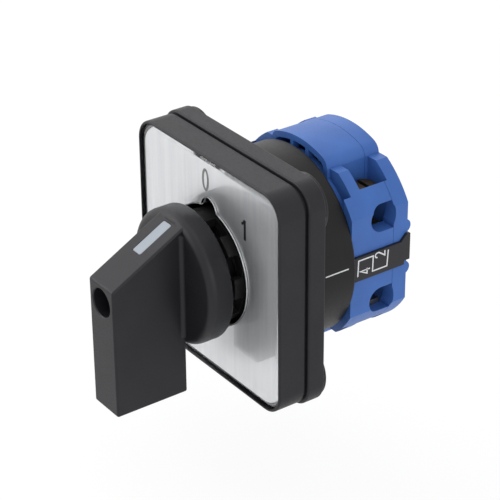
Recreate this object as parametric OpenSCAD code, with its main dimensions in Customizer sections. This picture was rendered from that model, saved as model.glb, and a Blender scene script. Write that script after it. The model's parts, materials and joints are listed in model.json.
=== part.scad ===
// Panel-mounted rotary cam switch, two poles, positions 0 and 1.
// Frame: origin on the shaft axis in the plane of the panel, +Y into the panel,
// +Z up and +X to the right for someone who faces the knob. Millimetres.

/* [Front plate] */
// Side of the square base plate
plate_w = 48; // [44:0.5:60]
// Corner radius of the base plate
plate_corner = 5; // [3:0.5:6]
// Thickness of the base plate
base_t = 4.4; // [4:0.1:5.4]
// Height of the round pads that stand on the panel
pad_h = 0.6; // [0.4:0.1:1.4]
// Radius of those pads
pad_r = 6; // [4.5:0.1:6]
// Depth of the seat that centres the housing in the base plate
housing_seat = 0.6; // [0.4:0.1:1.2]
// Clearance round the housing in that seat
housing_seat_gap = 0.15; // [0.1:0.05:0.3]
// Distance between mounting holes
hole_spacing = 36; // [34:0.5:37]
// Radius of the mounting holes
hole_r = 2.1; // [1.6:0.1:2.3]
// Depth of the bezel in front of the base plate
bezel_t = 6; // [5.4:0.1:8]
// How far the bezel stands back from the edge of the base plate
bezel_inset = 0.4; // [0.2:0.1:1]
// Width of the bezel's front rim
rim_w = 0.6; // [0.5:0.1:1.2]
// Width of the clear cover's edge outside the label plate
cover_edge_w = 0.6; // [0.3:0.1:0.9]
// Thickness of the bezel's walls
bezel_wall = 1.8; // [1.2:0.1:2.4]
// Depth of the rim in front of the clear cover
rim_lip = 0.3; // [0.2:0.1:0.8]
// Thickness of the clear cover
cover_t = 1; // [0.6:0.1:1.2]
// Thickness of the aluminium label plate
label_t = 0.5; // [0.3:0.1:0.8]
// Thickness of the floor that carries the label plate
floor_t = 1.6; // [1.2:0.1:2]
// Radius of the opening around the shaft
opening_r = 12.4; // [11.8:0.1:13.8]
// Radius of the keyway at the top of the opening
keyway_r = 2.6; // [1.6:0.1:3]
// Radial gap between the opening and the toothed collar
collar_gap = 1.1; // [0.6:0.1:2.2]
// Height of the toothed collar in front of the base plate
collar_h = 7.4; // [5:0.1:7.8]
// Length of the collar's teeth
tooth_h = 2; // [1:0.1:3]

/* [Knob] */
// Radius of the knob's disc
disc_r = 13.8; // [12:0.1:15]
// Thickness of the disc
disc_t = 5.1; // [4:0.1:7]
// Radius of the disc's front edge
disc_edge = 1.7; // [0.4:0.1:2]
// Gap between the bezel's front and the disc
disc_gap = 3.4; // [2:0.1:5]
// Radius of the boss behind the disc
boss_r = 7; // [6:0.1:8]
// Length of that boss
boss_l = 5; // [2:0.1:7]
// Front face of the grip, measured from the bezel's front
grip_reach = 24.3; // [23:0.1:28]
// Width of the grip
grip_w = 8.3; // [7.4:0.05:9]
// Top edge of the grip's front face above the axis
grip_top = 3.85; // [3.4:0.05:5]
// Top end of the grip's slope above the axis
slope_top = 12.4; // [11:0.1:13]
// Tail of the grip below the axis
grip_tail = 23.8; // [18:0.1:26]
// Length of the pale pointer
pointer_l = 8.3; // [6:0.1:9]
// Width of the pale pointer
pointer_w = 2.4; // [1.6:0.1:3]
// Distance of the pointer from the top end of the slope
pointer_end = 0.4; // [0.2:0.1:2]
// Radius of the hole for the knob's screw
knob_hole_r = 2.75; // [2.6:0.05:3.2]
// Depth of that hole, from the front of the grip to the screw's seat
knob_hole_depth = 8.8; // [6:0.1:9.4]

/* [Shaft] */
// Side of the square shaft
shaft_w = 6; // [5:0.1:6.2]
// Radius of the round hubs that run in the bores
hub_r = 5.2; // [5:0.1:5.4]
// Angle between positions 0 and 1
turn_angle = 45; // [30:5:45]

/* [Detent housing] */
// Outer radius of the housing
housing_r = 19.9; // [19.5:0.1:20.6]
// Thickness of the housing's round wall
housing_wall = 1.9; // [1.4:0.1:2.4]
// Thickness of the housing's front wall
housing_front_t = 2; // [1.6:0.1:2.2]
// Length of the housing
housing_l = 11.3; // [11:0.1:13]
// Thickness of the bearing plate that closes the housing
bearing_t = 2; // [1.6:0.1:2.4]
// Radius of the detent wheel over its lobes
wheel_r = 9; // [8.6:0.1:9.4]
// Radius of the valleys cut in the wheel
valley_r = 1.9; // [1.7:0.1:2.2]
// Radius of the nose on each detent slide
nose_r = 1.6; // [1.3:0.1:1.7]
// Width of each detent slide
slide_w = 6.6; // [5.6:0.1:7]
// Height of each detent slide behind its nose
slide_h = 3.3; // [2.6:0.1:3.6]
// Length of the stop arm from the axis
arm_l = 14.5; // [13.5:0.1:15]
// Width of the stop arm
arm_w = 4; // [3:0.1:5]
// Radius of the two stop pins
pin_r = 1.2; // [0.9:0.1:1.5]

/* [Contact block] */
// Outer radius of the contact block
block_r = 21.2; // [20.8:0.1:22.5]
// Length of the front shell
front_shell_l = 10.4; // [9.8:0.1:12]
// Length of the rear shell
rear_shell_l = 3.5; // [3.2:0.1:5]
// Flat sides of the block, measured from the axis
wing_x = 18.3; // [18:0.1:19.4]
// Height of the shoulders between the hoods and the flat sides
shoulder_z = 17.8; // [17:0.1:19]
// Half of the width of the hoods above and below
hood_half = 9; // [8.6:0.1:9.2]
// Radius of the hoods' outer corners
hood_corner = 2.5; // [1.8:0.1:3.5]
// Wall of the hoods
hood_wall = 1.3; // [1:0.1:1.6]
// Wall at the front of the contact chamber
web_t = 1.5; // [1.2:0.1:1.8]
// Radius of the wire entries
wire_r = 2.85; // [2.6:0.05:3]
// Height of the wire entries above and below the axis
wire_z = 9.1; // [8.9:0.1:9.3]
// Distance of the terminals from the axis
terminal_x = 12.2; // [12:0.1:12.4]
// Stroke of the two plungers
stroke = 2; // [1.4:0.1:2.2]
// Radius of the plungers' noses
plunger_nose_r = 1.5; // [1.2:0.1:1.6]
// Distance of the tie screws from the axis
tie_x = 13.8; // [13.6:0.1:14]
// Radius of the tie screws
tie_r = 1.5; // [1.2:0.1:1.6]
// Width of the black marking strips
strip_w = 5.3; // [4:0.1:5.6]
// Height of the tab at the rear end of each strip
tab_h = 1.4; // [0.6:0.1:1.6]
// How far the clips beside the strips stand out behind the block
clip_proud = 0.8; // [0.3:0.1:1.2]

/* [Fits] */
// Radial clearance of a running bore
running_gap = 0.06; // [0.02:0.01:0.1]
// Clearance between pieces that are fitted by hand
seat_gap = 0.05; // [0.02:0.01:0.1]
// Clearance between pieces that move past each other
travel_gap = 0.3; // [0.2:0.05:0.4]
// Clearance of threads and pressed pins
tight_gap = 0.02; // [0.01:0.01:0.03]
// Clearance of the holes that screws pass through
screw_gap = 0.15; // [0.1:0.05:0.2]

/* [Hidden] */
$fn = 64;

// Longer than any piece, for cuts that run right out
far = 60;
// How far a cut runs past the face that it opens
cut = 1;

// Colours
black = "#2b2b2d";
charcoal = "#39393c";
blue = "#3f63b8";
silver = "#c9cccf";
steel = "#9fa3a8";
brass = "#b8944a";
copper = "#b87045";
white = "#e4e6e8";

// Extra thickness of the wall at the rear of the contact chamber
rear_web_extra = 0.2;

// Stations along Y, from the front to the back
pad_face = 0;
base_rear = pad_face - pad_h;
base_front = base_rear - base_t;
bezel_front = base_front - bezel_t;
cover_front = bezel_front + rim_lip;
label_front = cover_front + cover_t;
floor_front = label_front + label_t;
floor_rear = floor_front + floor_t;
disc_rear = bezel_front - disc_gap;
disc_front = disc_rear - disc_t;
boss_rear = disc_rear + boss_l;
grip_front = bezel_front - grip_reach;
housing_front = base_rear - housing_seat;
cavity_front = housing_front + housing_front_t;
housing_rear = housing_front + housing_l;
bearing_front = housing_rear - bearing_t;
block_front = housing_rear;
web_rear = block_front + web_t;
seam_y = block_front + front_shell_l;
block_rear = seam_y + rear_shell_l;
rear_web_front = block_rear - web_t - rear_web_extra;

// Front plate
plate_half = plate_w / 2;
bezel_half = plate_half - bezel_inset;
cover_half = bezel_half - rim_w;
cover_corner = plate_corner - rim_w;
label_half = cover_half - cover_edge_w;
label_corner = cover_corner - cover_edge_w;
hole_half = hole_spacing / 2;
groove_w = 0.5;
groove_depth = 0.9;
head_room_r = 3.9;
head_room_depth = 1.4;
tongue_h = 1.6;
tongue_t = 1.4;
label_margin = 0.15;
keyway_drop = 0.5;
keyway_z = opening_r - keyway_drop;
notch_r = 0.75;
collar_t = 1.9;
collar_out_r = opening_r - collar_gap;
collar_in_r = collar_out_r - collar_t;
tooth_count = 8;
tooth_angle = 22;
base_opening_r = 6.4;
nut_sink = 0.2;

// Knob and shaft
screw_seat = grip_front + knob_hole_depth;
socket_wall = 1.4;
socket_front = screw_seat + socket_wall;
socket_gap = 0.2;
shaft_front = socket_front + socket_gap;
shaft_proud = 0.6;
shaft_rear = block_rear + shaft_proud;
socket_w = shaft_w + 2 * seat_gap;
screw_r = 1.5;
screw_head_r = 2.5;
screw_head_h = 2;
screw_l = 7;
tap_over = 1.5;
slot_w = 0.8;
slot_depth = 0.9;
grip_sink = 0.4;
grip_rear = disc_front + grip_sink;
slope_angle = atan2(slope_top - grip_top, disc_front - grip_front);
pointer_t = 0.8;
hub_bore_r = hub_r + running_gap;
ring_r = 7.6;
ring_t = 0.9;

// Detent
cavity_r = housing_r - housing_wall;
arm_t = 2;
arm_collar = 1.6;
arm_gap = 0.2;
arm_front = cavity_front + arm_gap;
arm_rear = arm_front + arm_t;
wheel_front = arm_rear;
wheel_t = 4;
wheel_rear = wheel_front + wheel_t;
lobe_count = 8;
valley_over = 0.5;
valley_set = 1.2;
valley_ring_r = wheel_r + valley_set;
lift_gap = 0.1;
nose_z = wheel_r + lift_gap + nose_r;
slide_inset = 0.4;
slide_slack = 0.6;
slide_front = wheel_front + slide_inset;
slide_t = wheel_t - slide_slack;
slide_top = nose_z + slide_h;
guide_t = 1.4;
guide_gap = 0.12;
guide_arm_gap = 0.15;
guide_wall_gap = 0.2;
guide_front = arm_rear + guide_arm_gap;
guide_x = slide_w / 2 + guide_gap;
guide_reach_r = cavity_r - guide_wall_gap;
guide_end = sqrt(pow(guide_reach_r, 2) - pow(guide_x + guide_t, 2)) - guide_t;
guide_bottom = wheel_r + valley_set;
spring_bore_floor = 0.8;
spring_foot = nose_z + spring_bore_floor;
detent_coil_r = 1.2;
detent_wire_r = 0.22;
detent_turns = 5;
spring_gap = 0.1;
spring_bore_r = detent_coil_r + detent_wire_r + spring_gap;
pin_ring_set = 1.5;
pin_ring_r = arm_l - pin_ring_set;
pin_sink = 0.8;
pin_drop = 0.1;
pin_top = arm_rear - pin_drop;
pin_angle = turn_angle / 2 + asin((arm_w / 2 + pin_r + travel_gap) / pin_ring_r);
tie_boss_r = 2.8;
tie_bore_r = tie_r + screw_gap;

// Contact block
terminal_set = 2.8;
terminal_y = seam_y - terminal_set;
contact_w = 5;
slot_gap = 0.1;
cam_t = 6.2;
cam_front = terminal_y - cam_t / 2;
cam_rear = cam_front + cam_t;
cam_gap = 0.2;
hub_end_gap = 0.1;
cam_high_r = 7.4;
cam_low_r = cam_high_r - stroke;
cam_rise = stroke / turn_angle;
lobe_over = 4;
lobe_end = 100;
lobe_fall = 25;
chamber_r = 9.5;
strip_t = 1;
seat_z = 5;
seat_set = 0.2;
leg_sink = 0.9;
arm_set = 0.8;
tip_level_z = 8;
tip_h = 0.7;
tip_r = 1.1;
tip_x = 5.2;
contact_gap = 0.05;
fixed_tip_top = tip_level_z + strip_t + tip_h;
bridge_z = fixed_tip_top + contact_gap + stroke + tip_h;
bridge_t = 1;
bridge_half = 6.4;
bridge_set = 0.2;
bridge_y_half = contact_w / 2 - bridge_set;
plunger_half = 3.1;
plunger_y_half = 2.1;
stem_half = 1.2;
stem_over = 1.8;
stem_top = bridge_z + bridge_t + stem_over;
contact_coil_r = 2.3;
contact_wire_r = 0.3;
contact_turns = 5;
hood_roof_r = block_r - hood_wall;
hood_set = 1.1;
hood_front = block_front + hood_set;
window_floor_r = 18;
window_rib_x = 2.4;
window_rib_w = 0.9;
rib_set = 1.8;
rib_front = block_front + rib_set;
rib_t = 2.5;
pocket_front = rib_front + rib_t;
pocket_over = 0.7;
pocket_rear = seam_y + pocket_over;
pocket_x = 15;
pocket_floor_z = 11.2;
ledge_w = 0.6;
ledge_x = pocket_x + ledge_w;
clamp_half = 2.6;
clamp_set = 0.2;
clamp_t = 1;
clamp_z = 11;
terminal_screw_r = 1.5;
terminal_head_r = 2.5;
terminal_head_h = 2;
terminal_end_z = 3.6;
end_gap = 0.4;
room_inner_x = 8.9;
room_reach = 3.2;
room_front = terminal_y - room_reach;
tie_head_r = 2.7;
tie_head_h = 1.9;
tie_head_gap = 0.25;
tie_head_room = tie_head_r + tie_head_gap;
tie_seat_depth = 2.2;
tie_seat = block_rear - tie_seat_depth;
tie_set = 0.5;
tie_front = base_front + tie_set;
nut_flat = 5.5;
nut_t = 2.3;
strip_sink = 0.7;
strip_proud = 0.6;
strip_tail = 0.4;
tab_l = 0.5;
tail_step = 0.85;
tail_l = 1.4;
clip_r = 1.5;
clip_inner_x = 14;
clip_overlap = 0.4;
clip_upper_z = strip_w / 2 + tab_h + clip_r;
clip_lower_z = clip_overlap - strip_w / 2 - clip_r;
bulge_ratio = 1.8;
bulge_over = 0.5;

// Places a flat outline, drawn in X and Z, between two stations along Y.
module along_y(y0, y1) {
    translate([0, y1, 0])
        rotate([90, 0, 0])
            linear_extrude(y1 - y0)
                children();
}

// Places a flat outline, drawn in Y and Z, between two stations along X.
module along_x(x0, x1) {
    translate([x0, 0, 0])
        rotate([90, 0, 90])
            linear_extrude(x1 - x0)
                children();
}

module tube_y(r, y0, y1, x = 0, z = 0) {
    along_y(y0, y1) translate([x, z]) circle(r);
}

module bar(x0, x1, y0, y1, z0, z1) {
    translate([x0, y0, z0]) cube([x1 - x0, y1 - y0, z1 - z0]);
}

// The opening around the shaft, with the keyway above it.
module opening(margin, y0, y1) {
    tube_y(opening_r + margin, y0, y1);
    tube_y(keyway_r + margin, y0, y1, 0, keyway_z);
}

module round_square(half, r) {
    square([2 * half, 2 * (half - r)], center = true);
    square([2 * (half - r), 2 * half], center = true);
    for (sx = [-1, 1])
        for (sz = [-1, 1])
            translate([sx * (half - r), sz * (half - r)]) circle(r);
}

module at_corners(half) {
    for (sx = [-1, 1])
        for (sz = [-1, 1])
            translate([sx * half, 0, sz * half]) children();
}

// The piece drawn above the axis, or its mirror image below it.
module side_z(s) {
    mirror([0, 0, s > 0 ? 0 : 1]) children();
}

module side_x(s) {
    mirror([s > 0 ? 0 : 1, 0, 0]) children();
}

module four_ways() {
    for (sx = [-1, 1])
        for (sz = [-1, 1])
            side_x(sx) side_z(sz) children();
}

module square_hole(y0, y1) {
    along_y(y0, y1) square([socket_w, socket_w], center = true);
}

// A round-wire coil spring that stands on Z = 0.
module coil_spring(coil_r, wire_r, length, turns) {
    steps = 12;
    sides = 6;
    rings = turns * steps;
    rise = (length - 2 * wire_r) / rings;
    points = [
        for (i = [0 : rings])
            for (k = [0 : sides - 1])
                let (a = i * 360 / steps, b = k * 360 / sides, r = coil_r + wire_r * cos(b))
                    [r * cos(a), r * sin(a), wire_r + i * rise + wire_r * sin(b)]
    ];
    walls = [
        for (i = [0 : rings - 1])
            for (k = [0 : sides - 1])
                let (n = (k + 1) % sides)
                    [i * sides + k, i * sides + n, (i + 1) * sides + n, (i + 1) * sides + k]
    ];
    first = [for (k = [sides - 1 : -1 : 0]) k];
    last = [for (k = [0 : sides - 1]) rings * sides + k];
    polyhedron(points, concat([first], walls, [last]), convexity = 10);
}

// ---- Knob and shaft ----

module grip_outline() {
    polygon([
        [grip_front, -grip_tail],
        [grip_rear, -grip_tail],
        [grip_rear, slope_top],
        [disc_front, slope_top],
        [grip_front, grip_top]
    ]);
}

// Puts its children on the slope, with X across it and Y along it, from the top end down.
module on_slope() {
    translate([0, disc_front, slope_top])
        rotate([slope_angle, 0, 0])
            children();
}

module pointer_bar(gap) {
    on_slope()
        translate([-pointer_w / 2 - gap, -pointer_end - pointer_l - gap, -pointer_t])
            cube([pointer_w + 2 * gap, pointer_l + 2 * gap, pointer_t + 4 * gap]);
}

// The disc, turned from its outline, with a round front edge.
module knob_disc() {
    edge_y = disc_rear - disc_front - disc_edge;
    translate([0, disc_rear, 0])
        rotate([90, 0, 0])
            rotate_extrude() {
                square([disc_r, edge_y]);
                square([disc_r - disc_edge, edge_y + disc_edge]);
                intersection() {
                    translate([disc_r - disc_edge, edge_y]) circle(disc_edge);
                    square([disc_r, far]);
                }
            }
}

module knob() {
    color(charcoal)
        difference() {
            union() {
                knob_disc();
                tube_y(boss_r, disc_rear - cut, boss_rear);
                along_x(-grip_w / 2, grip_w / 2) grip_outline();
            }
            tube_y(knob_hole_r, grip_front - cut, screw_seat);
            tube_y(screw_r + screw_gap, screw_seat - cut, socket_front + cut);
            square_hole(socket_front, boss_rear + cut);
            pointer_bar(seat_gap);
        }
}

module pointer_insert() {
    color(white) pointer_bar(0);
}

module knob_screw() {
    color(steel)
        difference() {
            union() {
                tube_y(screw_head_r, screw_seat - screw_head_h, screw_seat);
                tube_y(screw_r, screw_seat - cut, screw_seat + screw_l);
            }
            bar(-screw_head_r - cut, screw_head_r + cut, screw_seat - screw_head_h - cut,
                screw_seat - screw_head_h + slot_depth, -slot_w / 2, slot_w / 2);
        }
}

module square_shaft() {
    color(steel)
        difference() {
            along_y(shaft_front, shaft_rear) square([shaft_w, shaft_w], center = true);
            tube_y(screw_r + tight_gap, shaft_front - cut, screw_seat + screw_l + tap_over);
        }
}

module retaining_ring() {
    color(steel)
        difference() {
            tube_y(ring_r, base_front - travel_gap - ring_t, base_front - travel_gap);
            square_hole(base_front - far, base_front);
        }
}

// ---- Front plate ----

module clear_cover() {
    color([0.9, 0.95, 1, 0.35])
        difference() {
            along_y(cover_front, label_front)
                round_square(cover_half - seat_gap, cover_corner);
            opening(0, cover_front - cut, label_front + cut);
            tube_y(notch_r, cover_front - cut, label_front + cut, 0, cover_half);
        }
}

module label_plate() {
    color(silver)
        difference() {
            along_y(label_front, floor_front)
                round_square(label_half - seat_gap, label_corner);
            opening(label_margin, label_front - cut, floor_front + cut);
        }
}

module bezel_frame() {
    inner_half = bezel_half - bezel_wall;
    inner_corner = plate_corner - bezel_wall;
    color(black)
        difference() {
            along_y(bezel_front, base_front) round_square(bezel_half, plate_corner);
            along_y(bezel_front - cut, label_front) round_square(cover_half, cover_corner);
            along_y(bezel_front - cut, floor_front) round_square(label_half, label_corner);
            along_y(floor_rear, base_front + cut) round_square(inner_half, inner_corner);
            opening(0, bezel_front, base_front);
        }
}

module base_plate() {
    tongue_half = bezel_half - bezel_wall - seat_gap;
    tongue_corner = plate_corner - bezel_wall;
    color(black)
        difference() {
            union() {
                along_y(base_front + groove_w, base_rear) round_square(plate_half, plate_corner);
                along_y(base_front, base_rear)
                    round_square(plate_half - groove_depth, plate_corner - groove_depth);
                difference() {
                    along_y(base_front - tongue_h, base_rear)
                        round_square(tongue_half, tongue_corner);
                    along_y(base_front - tongue_h - cut, base_front)
                        round_square(tongue_half - tongue_t, tongue_corner - tongue_t);
                }
                at_corners(hole_half) tube_y(pad_r, base_rear - cut, pad_face);
            }
            at_corners(hole_half) {
                tube_y(hole_r, base_front - cut, pad_face + cut);
                tube_y(head_room_r, base_front - cut, base_front + head_room_depth);
            }
            tube_y(base_opening_r, base_front - cut, base_rear + cut);
            tube_y(housing_r + housing_seat_gap, housing_front, pad_face + cut);
            for (s = [-1, 1]) {
                tube_y(tie_bore_r, base_front - cut, base_rear + cut, s * tie_x);
                translate([s * tie_x, 0, 0])
                    along_y(base_front - cut, base_front + nut_sink + nut_t)
                        circle(r = (nut_flat / 2 + seat_gap) / cos(30), $fn = 6);
            }
        }
}

module collar_ring() {
    collar_front = base_front - collar_h;
    gap_half = 180 / tooth_count - tooth_angle / 2;
    color(charcoal)
        difference() {
            tube_y(collar_out_r, collar_front, base_front);
            tube_y(collar_in_r, collar_front - cut, base_front + cut);
            for (i = [0 : tooth_count - 1])
                rotate([0, (i + 0.5) * 360 / tooth_count, 0])
                    along_y(collar_front - cut, collar_front + tooth_h)
                        polygon([
                            [0, 0],
                            [-far * sin(gap_half), far * cos(gap_half)],
                            [far * sin(gap_half), far * cos(gap_half)]
                        ]);
        }
}

// ---- Detent housing ----

module detent_housing() {
    color(black)
        difference() {
            union() {
                difference() {
                    tube_y(housing_r, housing_front, housing_rear);
                    tube_y(cavity_r, cavity_front, housing_rear + cut);
                }
                for (s = [-1, 1])
                    tube_y(tie_boss_r, housing_front + cut, bearing_front, s * tie_x);
            }
            tube_y(hub_bore_r, housing_front - cut, cavity_front + cut);
            for (s = [-1, 1]) {
                tube_y(tie_bore_r, housing_front - cut, housing_rear + cut, s * tie_x);
                rotate([0, s * pin_angle, 0])
                    tube_y(pin_r + tight_gap, cavity_front - pin_sink, cavity_front + cut, 0, pin_ring_r);
            }
        }
}

module stop_disc() {
    color(white)
        rotate([0, -turn_angle / 2, 0])
            difference() {
                union() {
                    tube_y(hub_r, housing_front, arm_rear);
                    tube_y(hub_r + arm_collar, arm_front, arm_rear);
                    bar(-arm_w / 2, arm_w / 2, arm_front, arm_rear, 0, arm_l);
                }
                rotate([0, turn_angle / 2, 0]) square_hole(housing_front - cut, arm_rear + cut);
            }
}

module stop_pins() {
    color(steel)
        for (s = [-1, 1])
            rotate([0, s * pin_angle, 0])
                tube_y(pin_r, cavity_front - pin_sink, pin_top, 0, pin_ring_r);
}

module detent_wheel() {
    color(white)
        difference() {
            union() {
                tube_y(wheel_r, wheel_front, wheel_rear);
                tube_y(hub_r, wheel_front, housing_rear);
            }
            for (i = [0 : lobe_count - 1])
                rotate([0, i * 360 / lobe_count, 0])
                    tube_y(valley_r, wheel_front - cut, wheel_rear + valley_over, 0, valley_ring_r);
            square_hole(wheel_front - cut, housing_rear + cut);
        }
}

module detent_slide() {
    color(steel)
        difference() {
            union() {
                tube_y(nose_r, slide_front, slide_front + slide_t, 0, nose_z);
                bar(-slide_w / 2, slide_w / 2, slide_front, slide_front + slide_t,
                    nose_z, slide_top);
            }
            translate([0, slide_front + slide_t / 2, spring_foot])
                cylinder(r = spring_bore_r, h = far);
        }
}

module detent_spring() {
    color(steel)
        translate([0, slide_front + slide_t / 2, spring_foot])
            coil_spring(detent_coil_r, detent_wire_r, guide_end - spring_foot, detent_turns);
}

module detent_slide_upper() { side_z(1) detent_slide(); }
module detent_slide_lower() { side_z(-1) detent_slide(); }
module detent_spring_upper() { side_z(1) detent_spring(); }
module detent_spring_lower() { side_z(-1) detent_spring(); }

module bearing_plate() {
    color(charcoal)
        difference() {
            union() {
                tube_y(cavity_r - seat_gap, bearing_front, housing_rear);
                for (s = [-1, 1])
                    side_z(s) {
                        for (sx = [-1, 1])
                            side_x(sx)
                                bar(guide_x, guide_x + guide_t, guide_front, bearing_front + cut,
                                    guide_bottom, guide_end + guide_t);
                        bar(-guide_x - cut, guide_x + cut, guide_front, bearing_front + cut,
                            guide_end, guide_end + guide_t);
                    }
            }
            tube_y(hub_bore_r, bearing_front - cut, housing_rear + cut);
            for (s = [-1, 1])
                tube_y(tie_bore_r, bearing_front - cut, housing_rear + cut, s * tie_x);
        }
}

// ---- Contact block ----

// The arched outline of a hood above the axis, or of the room inside its wall.
module hood_shape(inset) {
    r = block_r - inset;
    half = hood_half - inset;
    corner = hood_corner - inset;
    corner_z = sqrt(pow(r - corner, 2) - pow(half - corner, 2));
    translate([-half, 0]) square([2 * half, corner_z]);
    for (s = [-1, 1])
        translate([s * (half - corner), corner_z]) circle(corner);
    intersection() {
        circle(r);
        polygon([[0, 0], [corner - half, corner_z] * 2, [half - corner, corner_z] * 2]);
    }
}

module block_outline() {
    intersection() {
        circle(block_r);
        square([2 * wing_x, 2 * shoulder_z], center = true);
    }
    for (s = [0, 1]) mirror([0, s]) hood_shape(0);
}

// The space for the plunger, the bridge and the spring, above the axis.
module hood_room(y0, y1) {
    along_y(y0, y1) hood_shape(hood_wall);
}

// The open pocket above one terminal, reached by a screwdriver.
module pocket(y0, y1) {
    bar(hood_half, pocket_x, y0, y1, pocket_floor_z, far);
}

// The space around one wire and its clamp.
module terminal_room(y0, y1) {
    bar(room_inner_x, pocket_x, y0, y1, seat_z, pocket_floor_z + cut);
}

// The round front half of a wire entry, open to the seam.
module wire_entry() {
    translate([0, terminal_y, wire_z])
        rotate([0, 90, 0])
            cylinder(r = wire_r, h = far);
    bar(0, far, terminal_y, seam_y + cut, wire_z - wire_r, wire_z + wire_r);
}

// The gap that lets a fixed contact into the hood.
module contact_slot() {
    bar(hood_half - hood_wall - cut, room_inner_x + cut, terminal_y - contact_w / 2 - slot_gap,
        seam_y + cut, seat_z, tip_level_z + strip_t + slot_gap);
}

// The windows under the front edge of a hood, with two short ribs between them.
module hood_windows() {
    difference() {
        along_y(block_front - cut, web_rear + 2 * cut)
            difference() {
                hood_shape(hood_wall);
                circle(window_floor_r);
            }
        for (s = [-1, 1])
            bar(s * window_rib_x - window_rib_w / 2, s * window_rib_x + window_rib_w / 2,
                hood_front, web_rear + 3 * cut, 0, far);
    }
}

module contact_shell_front() {
    color(blue)
        difference() {
            along_y(block_front, seam_y) block_outline();
            tube_y(chamber_r, web_rear, seam_y + cut);
            tube_y(hub_bore_r, block_front - cut, web_rear + cut);
            for (s = [-1, 1]) {
                side_z(s) {
                    hood_room(web_rear + cut, seam_y + cut);
                    hood_windows();
                    along_y(block_front - cut, hood_front)
                        difference() {
                            translate([-hood_half, 0]) square([2 * hood_half, far]);
                            circle(window_floor_r);
                        }
                }
                tube_y(tie_bore_r, block_front - cut, seam_y + cut, s * tie_x);
                side_x(s) strip_groove();
            }
            four_ways() {
                pocket(pocket_front, seam_y + cut);
                terminal_room(room_front, seam_y + cut);
                contact_slot();
                translate([pocket_x - cut, 0, 0]) wire_entry();
                translate([terminal_x, terminal_y, terminal_end_z - end_gap])
                    cylinder(r = terminal_screw_r + screw_gap,
                             h = seat_z - terminal_end_z + 2 * end_gap);
                along_y(block_front - cut, rib_front)
                    difference() {
                        translate([hood_half, 0]) square([ledge_x - hood_half, far]);
                        circle(window_floor_r);
                    }
            }
        }
}

module contact_shell_rear() {
    color(blue)
        difference() {
            union() {
                along_y(seam_y, block_rear) block_outline();
                for (s = [-1, 1])
                    side_x(s)
                        along_x(clip_inner_x, wing_x)
                            for (z = [clip_upper_z, clip_lower_z])
                                translate([block_rear + clip_proud - clip_r, z]) circle(clip_r);
            }
            tube_y(chamber_r, seam_y - cut, rear_web_front);
            tube_y(hub_bore_r, seam_y - cut, block_rear + cut);
            for (s = [-1, 1]) {
                side_z(s) hood_room(seam_y - cut, rear_web_front);
                tube_y(tie_bore_r, seam_y - cut, block_rear + cut, s * tie_x);
                tube_y(tie_head_room, tie_seat, block_rear + cut, s * tie_x);
                side_x(s) strip_groove();
            }
            four_ways() {
                pocket(seam_y - cut, pocket_rear);
                terminal_room(seam_y - cut, pocket_rear);
                translate([pocket_x - cut, seam_y + bulge_over - wire_r * bulge_ratio, wire_z])
                    rotate([0, 90, 0])
                        cylinder(r = wire_r * bulge_ratio, h = far);
            }
        }
}

// The outline of a marking strip, in Y and Z: a tab rises at its rear end and a step lies below it.
module strip_outline(gap, over) {
    half = strip_w / 2 + gap;
    front = block_front - over;
    rear = block_rear + strip_tail + over;
    polygon([
        [front, -half],
        [rear - tail_l - over, -half],
        [rear - tail_l - over, tail_step - half],
        [rear, tail_step - half],
        [rear, half + tab_h],
        [block_rear - tab_l - gap, half + tab_h],
        [block_rear - tab_l - tab_h - gap, half],
        [front, half]
    ]);
}

module strip_groove() {
    along_x(wing_x - strip_sink, far) strip_outline(seat_gap, 1);
}

// Radius of the cam, where phi is the angle from the top towards the right.
// Each lobe holds its plunger out up to phi = 0 and lets it in over turn_angle before that.
function lobe(phi) =
    phi > lobe_end ? cam_high_r - min(1, (phi - lobe_end) / lobe_fall) * (stroke + cam_rise * lobe_over) :
    phi > lobe_over ? cam_high_r + cam_rise * lobe_over :
    phi > -turn_angle - lobe_over ? cam_high_r + cam_rise * phi :
    cam_low_r - cam_rise * lobe_over;

function wrap(phi) = phi > lobe_end + lobe_fall ? phi - 180 : phi;

module switching_cam() {
    step = 3;
    color(white)
        difference() {
            union() {
                along_y(cam_front, cam_rear)
                    polygon([
                        for (a = [0 : step : 360 - step])
                            let (r = lobe(wrap(a % 180)))
                                [r * sin(a), r * cos(a)]
                    ]);
                tube_y(hub_r, block_front + hub_end_gap, block_rear);
            }
            square_hole(block_front - cut, block_rear + cut);
        }
}

module plunger() {
    nose_centre = cam_high_r + cam_gap + plunger_nose_r;
    y0 = terminal_y - plunger_y_half;
    y1 = terminal_y + plunger_y_half;
    color(white) {
        tube_y(plunger_nose_r, y0, y1, 0, nose_centre);
        bar(-plunger_half, plunger_half, y0, y1, nose_centre, bridge_z);
        bar(-stem_half, stem_half, terminal_y - stem_half, terminal_y + stem_half,
            bridge_z - cut, stem_top);
    }
}

module bridge() {
    hole_half = stem_half + seat_gap;
    color(copper)
        difference() {
            bar(-bridge_half, bridge_half, terminal_y - bridge_y_half,
                terminal_y + bridge_y_half, bridge_z, bridge_z + bridge_t);
            bar(-hole_half, hole_half, terminal_y - hole_half, terminal_y + hole_half,
                bridge_z - cut, bridge_z + bridge_t + cut);
        }
}

module moving_tips() {
    color(silver)
        for (s = [-1, 1])
            translate([s * tip_x, terminal_y, bridge_z - tip_h])
                cylinder(r = tip_r, h = tip_h);
}

module contact_spring() {
    color(steel)
        translate([0, terminal_y, bridge_z + bridge_t])
            coil_spring(contact_coil_r, contact_wire_r,
                        sqrt(pow(hood_roof_r, 2) - pow(contact_coil_r + contact_wire_r, 2))
                        - bridge_z - bridge_t, contact_turns);
}

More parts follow.
